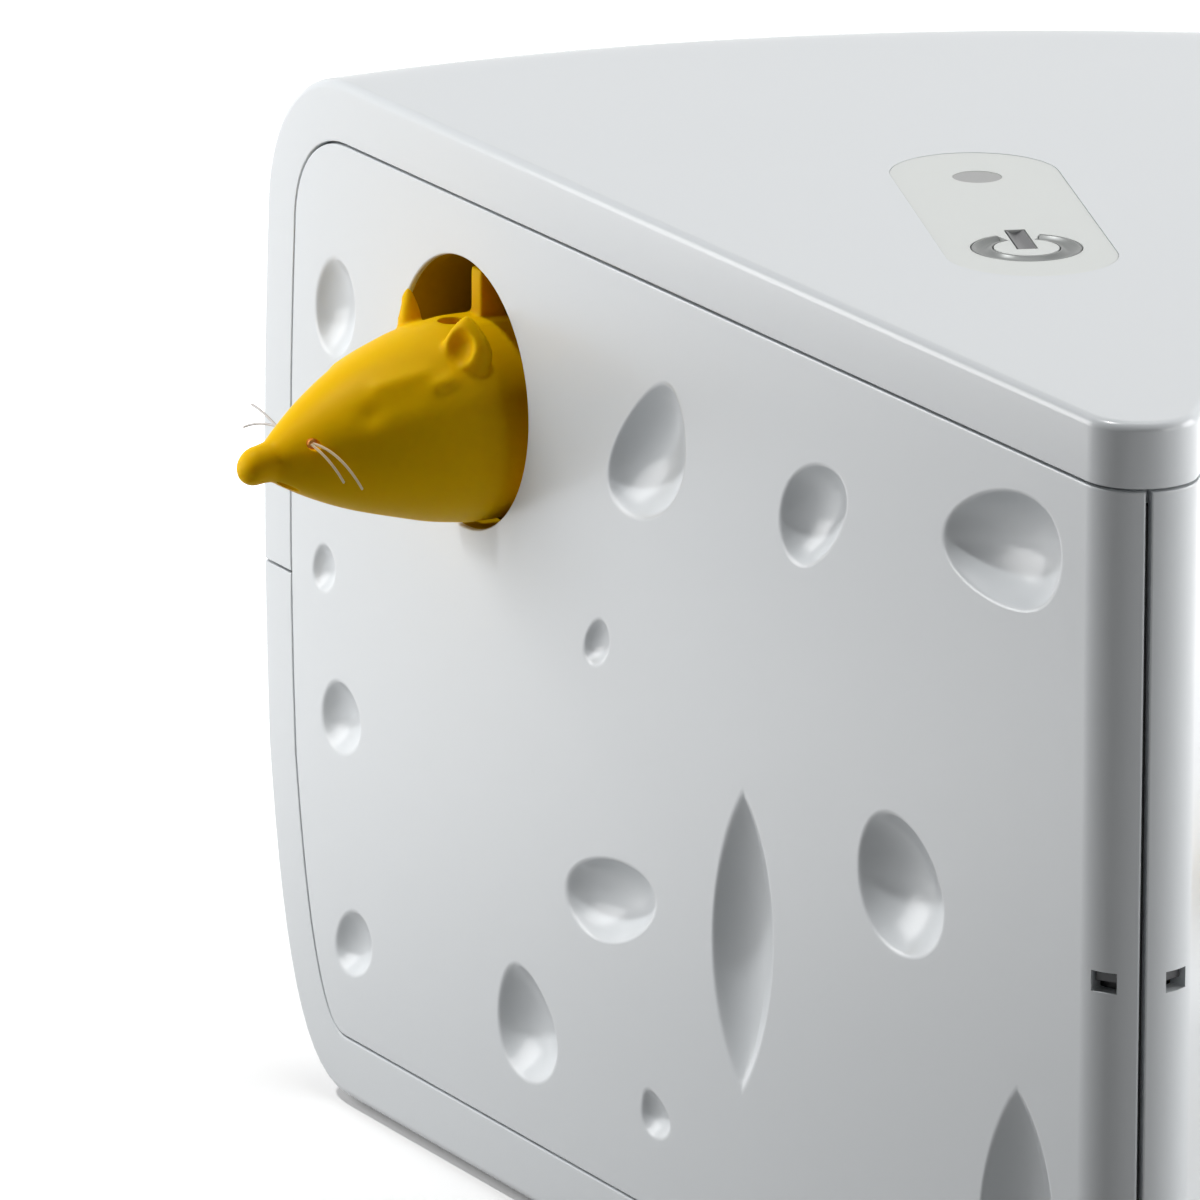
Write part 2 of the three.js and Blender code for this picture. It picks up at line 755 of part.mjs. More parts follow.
const keyTop = bodyHeight - keyRecess;
const keyUnder = keyTop - keyPlate;
const flangeTop = innerTop - fitGap;
const flangeBottom = flangeTop - keyFlangeThickness;
const symbolInner = symbolRadius - symbolStroke;
const symbolFloor = keyUnder - symbolBase;

// Ring with its mouth to the back, and the bar, both grown by a margin
function symbolForm(margin, z0, z1) {
  const ring = new THREE.Shape();
  const start = Math.PI / 2 + symbolMouth - margin / symbolRadius;
  const end = Math.PI * 2.5 - symbolMouth + margin / symbolRadius;
  for (const [radius, from, to] of [
    [symbolRadius + margin, start, end],
    [symbolInner - margin, end, start],
  ]) {
    for (let i = 0; i <= roundSides; i++) {
      const turn = from + ((to - from) * i) / roundSides;
      const x = Math.cos(turn) * radius;
      const y = symbolAt + Math.sin(turn) * radius;
      if (ring.curves.length || ring.currentPoint.lengthSq()) ring.lineTo(x, y);
      else ring.moveTo(x, y);
    }
  }
  const ringSolid = toSolid(new THREE.ExtrudeGeometry(ring,
    { depth: z1 - z0, bevelEnabled: false }).translate(0, 0, z0));
  const half = symbolBarWide / 2 + margin;
  return ringSolid.add(block(-half, half, symbolBarFront - margin, symbolBarBack + margin, z0, z1));
}

const switchTop = boardTop + switchHeight;
const plungerTop = switchTop + plungerRise;
const symbolBaseRadius = symbolRadius + symbolBaseRim;

function powerKey() {
  const plate = stadium(keyHalfWidth, keyFront, keyBack, 0, flangeBottom, keyTop);
  const flange = stadium(keyHalfWidth, keyFront, keyBack, keyFlange, flangeBottom, flangeTop);
  const stem = rod('z', plungerTop + fitGap, flangeBottom + fitGap, 0, symbolAt, keyStemRadius, roundSides);
  const lampHole = rod('z', flangeBottom - overrun, keyTop + overrun, 0, lampAt, lampRadius + fitGap,
    roundSides);
  const slots = symbolForm(fitGap, symbolFloor, keyTop + overrun);
  const pocket = rod('z', symbolFloor - fitGap, keyUnder, 0, symbolAt, symbolBaseRadius + fitGap, roundSides);
  const pocketEntry = block(
    -symbolBaseRadius - fitGap, symbolBaseRadius + fitGap, keyFront - keyFlange - overrun, symbolAt,
    symbolFloor - fitGap, keyUnder,
  );
  return cut(joined(plate, flange, stem), lampHole, slots, pocket, pocketEntry);
}

function powerSymbol() {
  const base = rod('z', symbolFloor, keyUnder - fitGap, 0, symbolAt, symbolBaseRadius, roundSides);
  return base.add(symbolForm(0, symbolFloor, keyTop));
}

const lampWindow = () => rod('z', flangeBottom, keyTop, 0, lampAt, lampRadius, roundSides);
const circuitBoard = () => block(-boardHalfWidth, boardHalfWidth, boardFront, boardBack, boardBottom,
  boardTop);

function pressSwitch() {
  const half = switchSize / 2;
  const body = block(-half, half, symbolAt - half, symbolAt + half, boardTop + fitGap, switchTop);
  const well = rod('z', switchTop - plungerSink - plungerRise, switchTop + overrun, 0, symbolAt,
    boreRadius(plungerRadius + runningGap, roundSides), roundSides);
  return cut(body, well);
}

const switchPlunger = () => rod('z', switchTop - plungerSink, plungerTop, 0, symbolAt, plungerRadius,
  roundSides);

function statusLed() {
  const foot = boardTop + fitGap;
  const neck = foot + ledHeight - ledRadius;
  const dome = new THREE.SphereGeometry(ledRadius, smallSides, craterRings).rotateX(Math.PI / 2);
  const rim = rod('z', foot, foot + ledRadius / 2, 0, lampAt, ledRadius * 1.2, smallSides);
  return joined(
    rod('z', foot, neck, 0, lampAt, ledRadius, smallSides),
    toSolid(dome.translate(0, lampAt, neck)),
    rim,
  );
}

// Battery case, cells, contacts and door

function batteryCase() {
  const outer = block(-caseHalfWidth, caseHalfWidth, caseFront, caseBack, caseBottom, caseTop);
  const troughs = cellPlaces.map((y) => joined(
    rod('x', -troughHalfLength, troughHalfLength, y, cellHeight, troughRadius, roundSides),
    block(-troughHalfLength, troughHalfLength, y - troughRadius, y + troughRadius, caseBottom - overrun,
      cellHeight),
  ));
  const notchTop = underside + doorPlate + doorTabThickness + doorTabLength * 2 + fitGap;
  const notches = [-doorTabAt, doorTabAt].map((x) => block(
    x - doorTabWide / 2 - fitGap, x + doorTabWide / 2 + fitGap,
    caseFront - overrun, troughFront + overrun, caseBottom - overrun, notchTop,
  ));
  return cut(outer, ...troughs, ...notches);
}

// Each second cell is turned end for end
const cellTurn = (index) => (index % 2 ? -1 : 1);

function batteryCell(index) {
  const turn = cellTurn(index);
  const y = cellPlaces[index];
  const half = cellLength / 2;
  const shoulder = half - cellCapHeight;
  const body = turn > 0 ? [-half, shoulder] : [-shoulder, half];
  const cap = turn > 0 ? [shoulder - fitGap, half] : [-half, fitGap - shoulder];
  return joined(
    rod('x', ...body, y, cellHeight, cellRadius, roundSides),
    rod('x', ...cap, y, cellHeight, cellCapRadius, smallSides),
  );
}

function tipContact(index) {
  const turn = cellTurn(index);
  const y = cellPlaces[index];
  const near = troughHalfLength - fitGap / 2;
  const span = [near - contactPlate, near].map((x) => x * turn).sort((a, b) => a - b);
  return block(...span, y - contactSize / 2, y + contactSize / 2, cellHeight - contactSize / 2,
    cellHeight + contactSize / 2);
}

function springContact(index) {
  const turn = -cellTurn(index);
  const y = cellPlaces[index];
  const far = troughHalfLength - fitGap / 2;
  const near = cellLength / 2 + fitGap / 2;
  const root = far - contactPlate;
  const plate = [root, far].map((x) => x * turn).sort((a, b) => a - b);
  const cone = [near, far].map((x) => x * turn).sort((a, b) => a - b);
  const radii = turn > 0 ? [springTipRadius, springRadius] : [springRadius, springTipRadius];
  const half = contactSize / 2;
  return joined(
    block(...plate, y - half, y + half, cellHeight - half, cellHeight + half),
    rod('x', ...cone, y, cellHeight, radii[0], smallSides, radii[1]),
  );
}

function batteryDoor() {
  const plate = doorOpening(0, underside, doorTop);
  const tabBottom = innerBottom + fitGap;
  const tabTop = tabBottom + doorTabThickness;
  const tabs = [-doorTabAt, doorTabAt].map((x) => joined(
    block(x - doorTabWide / 2, x + doorTabWide / 2, troughFront - doorTabLength,
      troughFront + doorTabThickness, tabBottom, tabTop),
    block(x - doorTabWide / 2, x + doorTabWide / 2, troughFront, troughFront + doorTabThickness, underside,
      tabTop),
  ));
  const head = rod('z', underside - overrun, underside + doorScrewHeadHeight + fitGap, 0, doorScrewAt,
    doorScrewHeadRadius + fitGap, roundSides);
  const shank = rod('z', underside - overrun, doorTop + overrun, 0, doorScrewAt, doorScrewRadius + fitGap,
    smallSides);
  return cut(joined(plate, ...tabs), head, shank);
}

// A screw along z with a cross recess in its head
function screw(x, y, seat, up, radius, length, headRadius, headHeight) {
  const head = [seat - up * headHeight, seat].sort((a, b) => a - b);
  const shank = [seat - (up * headHeight) / 2, seat + up * length].sort((a, b) => a - b);
  const face = seat - up * headHeight;
  const recess = [face - up * overrun, face + (up * headHeight) / 2].sort((a, b) => a - b);
  const long = headRadius / 2;
  const thin = headRadius / 6;
  return cut(
    joined(rod('z', ...head, x, y, headRadius, roundSides), rod('z', ...shank, x, y, radius, smallSides)),
    block(x - long, x + long, y - thin, y + thin, ...recess),
    block(x - thin, x + thin, y - long, y + long, ...recess),
  );
}

// Mouse

const droop = (u) => -headDrop - snoutDroop * Math.max(0, (u - droopFrom) / droopOver) ** 1.5;

function earForm(side, grow, ahead) {
  const ear = new THREE.SphereGeometry(1, craterSides, craterRings);
  ear.scale(earThick + grow, earWide + grow, earTall + grow);
  ear.translate(ahead, 0, 0).rotateZ(side * earTurn);
  return toSolid(ear.translate(earAt, side * earAcross, earRise));
}

function mouseHead() {
  const tip = noseAt + noseRadius;
  const nose = [-0.6, 0, 0.7].map(
    (share) => [noseRadius * Math.sqrt(1 - share ** 2), noseAt + noseRadius * share]);
  const outline = [[0, headBack], ...headOutline, ...nose, [0, tip]];
  const body = new THREE.LatheGeometry(outline.map(([r, u]) => new THREE.Vector2(r, u)), roundSides);
  body.rotateZ(-Math.PI / 2);
  const places = body.attributes.position;
  for (let i = 0; i < places.count; i++) places.setZ(i, places.getZ(i) + droop(places.getX(i)));
  let head = toSolid(body);
  const wide = headRadius + overrun;
  head = head.subtract(block(headBack - overrun, ledgeFront, -wide, wide, ledgeHeight, ledgeHeight + wide));
  head = head.add(block(headBack, finFront, finInner, finInner + finThickness, ledgeHeight - finThickness,
    finTop));
  for (const side of [-1, 1]) {
    head = head.add(earForm(side, 0, 0)).subtract(earForm(side, -earCup, earThick + earCup));
    const eye = new THREE.SphereGeometry(eyeRadius, craterSides, craterRings);
    head = head.subtract(toSolid(eye.translate(eyeAt, side * eyeAcross, eyeRise)));
  }
  const boreTop = spigotTop + fitGap;
  const boreFoot = -spigotFoot - fitGap;
  const boreHalf = spigotHalfWidth + fitGap;
  const bore = block(headBack - overrun, headBoreFront + fitGap, -boreHalf, boreHalf, boreFoot, boreTop);
  const recess = rod('z', ledgeHeight - headScrewRecess, ledgeHeight + overrun, headScrewAt, 0,
    headScrewHeadRadius + fitGap, roundSides);
  const hole = rod('z', spigotTop, ledgeHeight, headScrewAt, 0, headScrewRadius + fitGap, smallSides);
  const whiskerHole = rod('y', -headRadius, headRadius, whiskerAt, whiskerRise + droop(whiskerAt) / 2,
    whiskerRoot + fitGap, smallSides);
  return cut(head, bore, recess, hole, whiskerHole);
}

// Nylon whiskers: one bundle through the snout, parting into three strands on each side
function mouseWhiskers() {
  const rise = whiskerRise + droop(whiskerAt) / 2;
  const reach = headRadius / 2 - whiskerRoot;
  let tuft = rod('y', -reach, reach, whiskerAt, rise, whiskerRoot, smallSides);
  for (const side of [-1, 1]) {
    for (const bend of whiskerBendShares) {
      const back = bend.back * whiskerReach;
      const lift = bend.lift * whiskerReach;
      const curve = new THREE.QuadraticBezierCurve3(
        new THREE.Vector3(whiskerAt, side * (reach - whiskerRoot), rise),
        new THREE.Vector3(whiskerAt, side * (reach + whiskerReach) / 2, rise + lift / 2),
        new THREE.Vector3(whiskerAt - back, side * whiskerReach, rise + lift),
      );
      const section = new THREE.Shape();
      for (let i = 0; i < 4; i++) {
        const turn = (i * Math.PI) / 2;
        const corner = [Math.cos(turn) * whiskerRadius, Math.sin(turn) * whiskerRadius];
        if (i) section.lineTo(...corner);
        else section.moveTo(...corner);
      }
      tuft = tuft.add(toSolid(new THREE.ExtrudeGeometry(section,
        { steps: curveSteps - 1, extrudePath: curve })));
    }
  }
  return tuft;
}

// Rack and slide. Depths below the hole's centre are positive downwards here.
const rackPitch = Math.PI * rackModule;
const rackRadius = (rackPinionTeeth * rackModule) / 2;
const barBottom = -(rackDepth - toothFootShare * rackModule) + fitGap;
const barTop = -plateHighTop - keeperThickness - fitGap;
const gearHeight = -rackDepth - rackRadius;
const rackTeeth = Math.ceil(mouseTravel / rackPitch) + rackSpareTeeth * 2;
const rackFront = -pinionAt + mouseTravel + rackPitch * rackSpareTeeth;

function mouseSlide() {
  const front = headBoreFront;
  const back = headBack - slideNeckLength;
  const barBack = rackFront - rackTeeth * rackPitch;
  const spigot = block(back, front, -spigotHalfWidth, spigotHalfWidth, -spigotFoot, spigotTop);
  const shoe = block(back, headBack - fitGap, -shoeHalfWidth, shoeHalfWidth, -shoeBottom,
    shoeThickness - shoeBottom);
  const neck = block(back, headBack - fitGap, -spigotHalfWidth, spigotHalfWidth, -shoeBottom, spigotTop);
  const bar = block(barBack, headBack - fitGap, -barHalfWidth, barHalfWidth, barBottom, barTop);
  const hole = rod('z', spigotTop - headScrewLength, spigotTop + overrun, headScrewAt, 0,
    headScrewRadius + fitGap, smallSides);
  return cut(joined(spigot, shoe, neck, bar, rackTeethSolid(barBottom + fitGap)), hole);
}

// Teeth of the rack, hanging from the bar and in mesh with the pinion at rest
function rackTeethSolid(top) {
  const root = -(rackDepth - toothFootShare * rackModule);
  const tip = -(rackDepth + toothHeadShare * rackModule);
  const points = [new THREE.Vector2(rackFront, top), new THREE.Vector2(rackFront, root)];
  const first = Math.floor((rackFront + pinionAt) / rackPitch) - 1;
  for (let i = 0; i < rackTeeth; i++) {
    const middle = -pinionAt + (first - i + 0.5) * rackPitch;
    const tooth = [
      [toothRootShare, root], [toothTipShare, tip], [-toothTipShare, tip], [-toothRootShare, root],
    ];
    for (const [share, depth] of tooth) points.push(new THREE.Vector2(middle + share * rackPitch, depth));
  }
  const back = rackFront - rackTeeth * rackPitch;
  points.push(new THREE.Vector2(back, root), new THREE.Vector2(back, top));
  const teeth = prism(points, gearFaceWide * 2);
  return toSolid(teeth.rotateX(Math.PI / 2).translate(0, gearFaceWide, 0));
}

// A toothed wheel on an axis along v, with a tooth at the angle given, between two places along v
function wheel(teeth, size, turn, u, w, from, to) {
  const pitch = (Math.PI * 2) / teeth;
  const root = (teeth / 2 - toothFootShare) * size;
  const tip = (teeth / 2 + toothHeadShare) * size;
  const points = [];
  for (let i = 0; i < teeth; i++) {
    const middle = turn + i * pitch;
    for (const [share, radius] of [
      [-toothRootShare, root], [-toothTipShare, tip], [toothTipShare, tip], [toothRootShare, root],
    ]) {
      const angle = middle + share * pitch;
      points.push(new THREE.Vector2(u + Math.cos(angle) * radius, w + Math.sin(angle) * radius));
    }
  }
  return toSolid(prism(points, to - from).rotateX(Math.PI / 2).translate(0, to, 0));
}

// Angle of a tooth on a wheel that meshes with another: both face each other along one direction
const meshAngle = (turn, teeth, otherTurn, otherTeeth) => (
  turn + Math.PI + Math.PI / teeth - ((otherTurn - turn) * otherTeeth) / teeth
);

const idlerSpacing = ((outputTeeth + idlerPinionTeeth) * slowModule) / 2;
const motorSpacing = ((idlerTeeth + motorTeeth) * fastModule) / 2;
const outputAt = -pinionAt;
const idlerAt = outputAt - idlerSpacing;
const motorAt = idlerAt - motorSpacing;
const rearward = Math.PI;
const rackPinionTurn = Math.PI / 2;
const outputTurn = rackPinionTurn;
const idlerPinionTurn = meshAngle(rearward, idlerPinionTeeth, outputTurn, outputTeeth);
const idlerTurn = idlerPinionTurn;
const motorTurn = meshAngle(rearward, motorTeeth, idlerTurn, idlerTeeth);

// Widths across: the rack in the middle, the slow pair on one side and the fast pair on the other
const sideNear = gearFaceWide + gearGap;
const sideFar = sideNear + gearFaceWide;
const hubReach = plateAcross - fitGap;

function axleBore(solid, u) {
  return cut(solid, rod('y', -plateAcross, plateAcross, u, gearHeight,
    boreRadius(axleRadius + runningGap, smallSides), smallSides));
}

function outputGear() {
  return axleBore(joined(
    wheel(rackPinionTeeth, rackModule, rackPinionTurn, outputAt, gearHeight, -gearFaceWide - fitGap,
      gearFaceWide),
    wheel(outputTeeth, slowModule, outputTurn, outputAt, gearHeight, -sideFar, -sideNear + fitGap),
    rod('y', -hubReach, hubReach, outputAt, gearHeight, hubRadius, smallSides),
  ), outputAt);
}

function idlerGear() {
  return axleBore(joined(
    wheel(idlerPinionTeeth, slowModule, idlerPinionTurn, idlerAt, gearHeight, -sideFar, -sideNear + fitGap),
    wheel(idlerTeeth, fastModule, idlerTurn, idlerAt, gearHeight, sideNear, sideFar),
    rod('y', -hubReach, hubReach, idlerAt, gearHeight, hubRadius, smallSides),
  ), idlerAt);
}

const axle = (u) => rod('y', -plateAcross - plateThickness, plateAcross + plateThickness, u, gearHeight,
  axleRadius, smallSides);

// Side plates of the drive. The frame's own plate carries the motor, the other is pushed on.
function drivePlate(from, to) {
  const points = [
    [plateFront, plateBottom], [plateBack, plateBottom], [plateBack, plateHighTop],
    [plateStepBack, plateHighTop],
    [plateStepFront, plateLowTop], [plateFront, plateLowTop],
  ].map(([u, w]) => new THREE.Vector2(-u, -w));
  const plate = toSolid(prism(points, to - from).rotateX(Math.PI / 2).translate(0, to, 0));
  const axleHoles = [outputAt, idlerAt].map((u) => (
    rod('y', from - overrun, to + overrun, u, gearHeight, axleRadius + fitGap, smallSides)));
  return cut(plate, ...axleHoles);
}

// Spacers between the plates, low in the frame and clear of the wheels
const spacerPlaces = [
  { u: -plateFront - spacerRadius * 1.5, w: -plateBottom + spacerRadius * 1.5 },
  { u: -plateBack + spacerRadius * 1.5, w: -plateBottom + spacerRadius * 1.5 },
];
const plateFarFace = plateAcross + plateThickness;

function driveFrame() {
  let frame = drivePlate(plateAcross, plateFarFace);
  for (const { u, w } of spacerPlaces) {
    frame = frame.add(rod('y', fitGap - plateAcross, plateAcross + fitGap, u, w, spacerRadius, smallSides));
    frame = frame.add(rod('y', -plateFarFace, 0, u, w, axleRadius, smallSides));
  }
  for (const back of keeperPlaces) {
    frame = frame.add(block(
      -back - keeperLength, -back, fitGap - plateAcross, plateAcross + fitGap,
      -plateHighTop - keeperThickness, -plateHighTop,
    ));
  }
  return cut(frame, rod('y', plateAcross - overrun, plateFarFace + overrun, motorAt, gearHeight,
    motorCapRadius + fitGap, roundSides));
}

function drivePlateCover() {
  const pins = spacerPlaces.map(({ u, w }) => (
    rod('y', -plateFarFace - overrun, overrun - plateAcross, u, w, axleRadius + fitGap, smallSides)));
  return cut(drivePlate(-plateFarFace, -plateAcross), ...pins);
}

const motorFace = plateFarFace + fitGap;

function motorBody() {
  const can = rod('y', motorFace, motorFace + motorLength, motorAt, gearHeight, motorRadius, roundSides);
  const flats = block(
    motorAt - motorRadius, motorAt + motorRadius, motorFace - overrun, motorFace + motorLength + overrun,
    gearHeight - motorHalfHeight, gearHeight + motorHalfHeight,
  );
  const end = motorFace + motorLength;
  const cap = rod('y', motorFace - motorCapLength, end + motorCapLength, motorAt, gearHeight,
    motorCapRadius, roundSides);
  const terminals = [-1, 1].map((side) => block(
    motorAt + (side * motorRadius) / 2 - terminalSize / 2,
    motorAt + (side * motorRadius) / 2 + terminalSize / 2,
    end - overrun, end + motorCapLength * 2, gearHeight - contactPlate, gearHeight + contactPlate,
  ));
  const shaftBore = rod('y', motorFace - motorCapLength - overrun, motorFace + motorShaftInside, motorAt,
    gearHeight,
    boreRadius(motorShaftRadius + runningGap, smallSides), smallSides);
  return cut(joined(can.intersect(flats), cap, ...terminals), shaftBore);
}

function motorPinion() {
  return joined(
    wheel(motorTeeth, fastModule, motorTurn, motorAt, gearHeight, sideNear, sideFar),
    rod('y', sideNear, motorFace + motorShaftInside - fitGap, motorAt, gearHeight, motorShaftRadius,
      smallSides),
  );
}

// Limit switch beside the rack bar's inner end
function endSwitch() {
  const back = -plateBack + overrun;
  const near = fitGap - plateAcross;
  const top = barBottom + switchLeverTall;
  return joined(
    block(back, back + switchBoxLength, near, near + switchBoxWide, top - switchBoxTall - switchLeverTall,
      top - switchLeverTall),
    block(back + overrun, back + overrun + switchLeverLong, near + overrun, near + switchBoxWide,
      top - switchLeverTall - fitGap, top),
  );
}

// Tunnel behind the panel, with a slot in its floor for the rack
const tunnelFront = -panelWall - fitGap;

function mouseTunnel() {
  const back = tunnelFront - tunnelLength;
  const outer = tunnelInner + tunnelWall;
  const tube = rod('x', back, tunnelFront, 0, 0, outer, holeSides);
  const flange = rod('x', tunnelFront - tunnelFlangeThickness, tunnelFront, 0, 0, tunnelFlange, holeSides);
  const bore = rod('x', back - overrun, tunnelFront + overrun, 0, 0, boreRadius(tunnelInner, holeSides),
    holeSides);
  const slotHalf = barHalfWidth + fitGap * 2;
  const slot = block(back - overrun, tunnelFront - tunnelFlangeThickness * 2, -slotHalf, slotHalf,
    -tunnelFlange, -shoeBottom);
  const holes = stakePlaces.map((turn) => rod('x', tunnelFront - tunnelFlangeThickness - overrun,
    tunnelFront + overrun,
    Math.cos(turn) * stakeCircle, Math.sin(turn) * stakeCircle, stakeRadius + fitGap, smallSides));
  return cut(tube.add(flange), bore, slot, ...holes);
}

// Assembly

const cheeseToy = new THREE.Group();

function place(parent, name, solid, finish) {
  const mesh = new THREE.Mesh(toGeometry(solid), new THREE.MeshStandardMaterial(finishes[finish]));
  mesh.name = name;
  parent.add(mesh);
}

place(cheeseToy, 'top_cover', topCover(), 'whiteGloss');
place(cheeseToy, 'bottom_cover', bottomCover(), 'whiteGloss');
place(cheeseToy, 'left_panel', sidePanel(leftHole, dents(leftCraterShares), dents(leftSlashShares)),
  'whiteGloss');
place(cheeseToy, 'right_panel',
  mirroredSolid(sidePanel(rightHole, dents(rightCraterShares), dents(rightSlashShares))), 'whiteGloss');
place(cheeseToy, 'apex_post', apexPost(), 'blackPlastic');

place(cheeseToy, 'power_key', powerKey(), 'milkyPlastic');
place(cheeseToy, 'power_symbol', powerSymbol(), 'greyInlay');
place(cheeseToy, 'lamp_window', lampWindow(), 'greyInlay');
place(cheeseToy, 'circuit_board', circuitBoard(), 'greenBoard');
place(cheeseToy, 'press_switch', pressSwitch(), 'blackPlastic');
place(cheeseToy, 'switch_plunger', switchPlunger(), 'blackPlastic');
place(cheeseToy, 'status_led', statusLed(), 'redLamp');

place(cheeseToy, 'battery_case', batteryCase(), 'blackPlastic');
place(cheeseToy, 'battery_door', batteryDoor(), 'whiteGloss');
cellPlaces.forEach((_, i) => {
  place(cheeseToy, `battery_cell_${i + 1}`, batteryCell(i), 'cellJacket');
  place(cheeseToy, `tip_contact_${i + 1}`, tipContact(i), 'steel');
  place(cheeseToy, `spring_contact_${i + 1}`, springContact(i), 'steel');
});
place(cheeseToy, 'door_screw', screw(0, doorScrewAt, underside + doorScrewHeadHeight, 1, doorScrewRadius,
  doorScrewLength, doorScrewHeadRadius, doorScrewHeadHeight), 'steel');

screwPosts.forEach(({ x, y }, i) => {
  const seat = screwSeat - fitGap;
  place(cheeseToy, `housing_screw_${i + 1}`, screw(x, y, seat, 1, screwRadius, screwLength,
    screwHeadRadius, screwHeadHeight), 'steel');
});
for (const { name, x, y } of footPlaces) {
  place(cheeseToy, name, rod('z', 0, footThickness, x, y, footRadius, roundSides), 'greyRubber');
}

// One mouse drive at each hole. Both are the same parts, turned to face out of their panel.
for (const [side, hole] of [['left', leftHole], ['right', rightHole]]) {
  const drive = new THREE.Group();
  const across = side === 'left' ? 1 : -1;
  drive.position.copy(onLeft(hole.along, hole.height));
  drive.position.x *= across;
  drive.rotation.z = side === 'left' ? Math.PI + halfAngle : -halfAngle;
  cheeseToy.add(drive);
  place(drive, `${side}_mouse_head`, mouseHead(), 'yellowPlastic');
  place(drive, `${side}_mouse_whiskers`, mouseWhiskers(), 'nylon');
  place(drive, `${side}_mouse_slide`, mouseSlide(), 'yellowPlastic');
  place(drive, `${side}_head_screw`,
    screw(headScrewAt, 0, ledgeHeight - headScrewRecess + fitGap, -1, headScrewRadius,
    headScrewLength, headScrewHeadRadius, headScrewHeadHeight), 'steel');
  place(drive, `${side}_tunnel`, mouseTunnel(), 'yellowPlastic');
  place(drive, `${side}_drive_frame`, driveFrame(), 'naturalPlastic');
  place(drive, `${side}_drive_plate`, drivePlateCover(), 'naturalPlastic');
  place(drive, `${side}_output_gear`, outputGear(), 'naturalPlastic');
  place(drive, `${side}_output_axle`, axle(outputAt), 'steel');
  place(drive, `${side}_idler_gear`, idlerGear(), 'naturalPlastic');
  place(drive, `${side}_idler_axle`, axle(idlerAt), 'steel');
  place(drive, `${side}_motor`, motorBody(), 'steel');
  place(drive, `${side}_motor_pinion`, motorPinion(), 'brass');
  place(drive, `${side}_end_switch`, endSwitch(), 'blackPlastic');
}

// The part's origin is the middle of its box, at the level that it stands on
cheeseToy.updateMatrixWorld(true);
const bounds = new THREE.Box3().setFromObject(cheeseToy, true);
const middle = bounds.getCenter(new THREE.Vector3());
cheeseToy.position.set(-middle.x, -middle.y, -bounds.min.z);
cheeseToy.updateMatrixWorld(true);

export default cheeseToy;
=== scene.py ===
import json
from math import acos, asin, atan2, copysign, cos, exp, pi, radians, sin, sqrt, tau

import bmesh
import bpy
from mathutils import Matrix, Vector
from mathutils.bvhtree import BVHTree

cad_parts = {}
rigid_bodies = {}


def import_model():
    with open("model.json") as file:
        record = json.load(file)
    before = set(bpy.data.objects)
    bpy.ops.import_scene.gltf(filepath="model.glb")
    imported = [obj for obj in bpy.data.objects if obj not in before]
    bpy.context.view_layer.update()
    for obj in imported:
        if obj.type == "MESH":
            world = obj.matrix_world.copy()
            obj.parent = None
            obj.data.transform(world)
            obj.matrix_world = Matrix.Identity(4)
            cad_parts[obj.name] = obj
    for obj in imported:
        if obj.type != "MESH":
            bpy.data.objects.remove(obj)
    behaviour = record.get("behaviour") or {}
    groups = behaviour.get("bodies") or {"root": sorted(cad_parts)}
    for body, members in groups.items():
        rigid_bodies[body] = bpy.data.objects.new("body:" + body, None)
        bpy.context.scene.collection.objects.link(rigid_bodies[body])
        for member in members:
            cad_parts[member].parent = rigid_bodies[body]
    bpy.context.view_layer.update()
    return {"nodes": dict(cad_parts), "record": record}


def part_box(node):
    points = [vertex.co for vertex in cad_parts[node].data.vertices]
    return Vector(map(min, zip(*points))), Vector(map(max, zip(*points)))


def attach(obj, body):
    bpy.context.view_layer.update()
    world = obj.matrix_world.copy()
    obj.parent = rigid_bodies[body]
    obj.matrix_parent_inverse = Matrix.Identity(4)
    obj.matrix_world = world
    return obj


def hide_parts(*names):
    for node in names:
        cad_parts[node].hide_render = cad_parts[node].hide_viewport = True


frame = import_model()
print("frame loaded,", len(frame["nodes"]), "nodes")

# Shapes are worked out in millimetres from the line where the two side planes would meet.
milli = 0.001
weld = 1e-4
nodeWeld = 1e-6
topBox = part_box("top_cover")
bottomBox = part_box("bottom_cover")

wedge = {
    "height": topBox[1][2] / milli,
    "underside": bottomBox[0][2] / milli,
    "splitLow": 74.85,
    "splitHigh": 75.15,
    "halfAngle": radians(20.4),
    "apexRadius": 7.8,
    "apexSteps": 45,
    "rindCentre": 39.9,
    "rindColumns": 72,
    "rindSteps": 14,
    "belly": 214.3,
    "shoulder": 212.9,
    "topFlat": 188.5,
    "bottomFlat": 189.0,
    "shoulderDrop": 24.0,
    "heelRise": 46.5,
    "shoulderBend": (0.58, 0.59),
    "heelBend": (0.586, 0.163, 0.376),
    "band": 8.8,
    "coverWall": 2.5,
    "panelWall": 2.5,
    "gap": 0.3,
    "edgeRadius": 1.3,
    "edgeSharp": radians(35),
    "edgeSteps": 4,
    "rindPast": 4.0,
    "seamRadius": 0.3,
}
sinHalf = sin(wedge["halfAngle"])
cosHalf = cos(wedge["halfAngle"])
apexCentre = wedge["apexRadius"] / sinHalf
reach = wedge["rindCentre"] + wedge["belly"]
toFrame = Matrix.Translation((
    (topBox[0][0] + topBox[1][0]) / 2,
    topBox[0][1] - (apexCentre - wedge["apexRadius"]) * milli,
    0,
)) @ Matrix.Scale(milli, 4)

holes = {
    "left": {"along": 190.7, "height": wedge["height"] - 36.5, "radius": 19.2},
    "right": {"along": 184.0, "height": wedge["underside"] + 41.5, "radius": 19.2},
}


def linked(name, data):
    thing = bpy.data.objects.new(name, data)
    bpy.context.scene.collection.objects.link(thing)
    return thing


def newObject(name, bm):
    mesh = bpy.data.meshes.new(name)
    bm.to_mesh(mesh)
    bm.free()
    return linked(name, mesh)


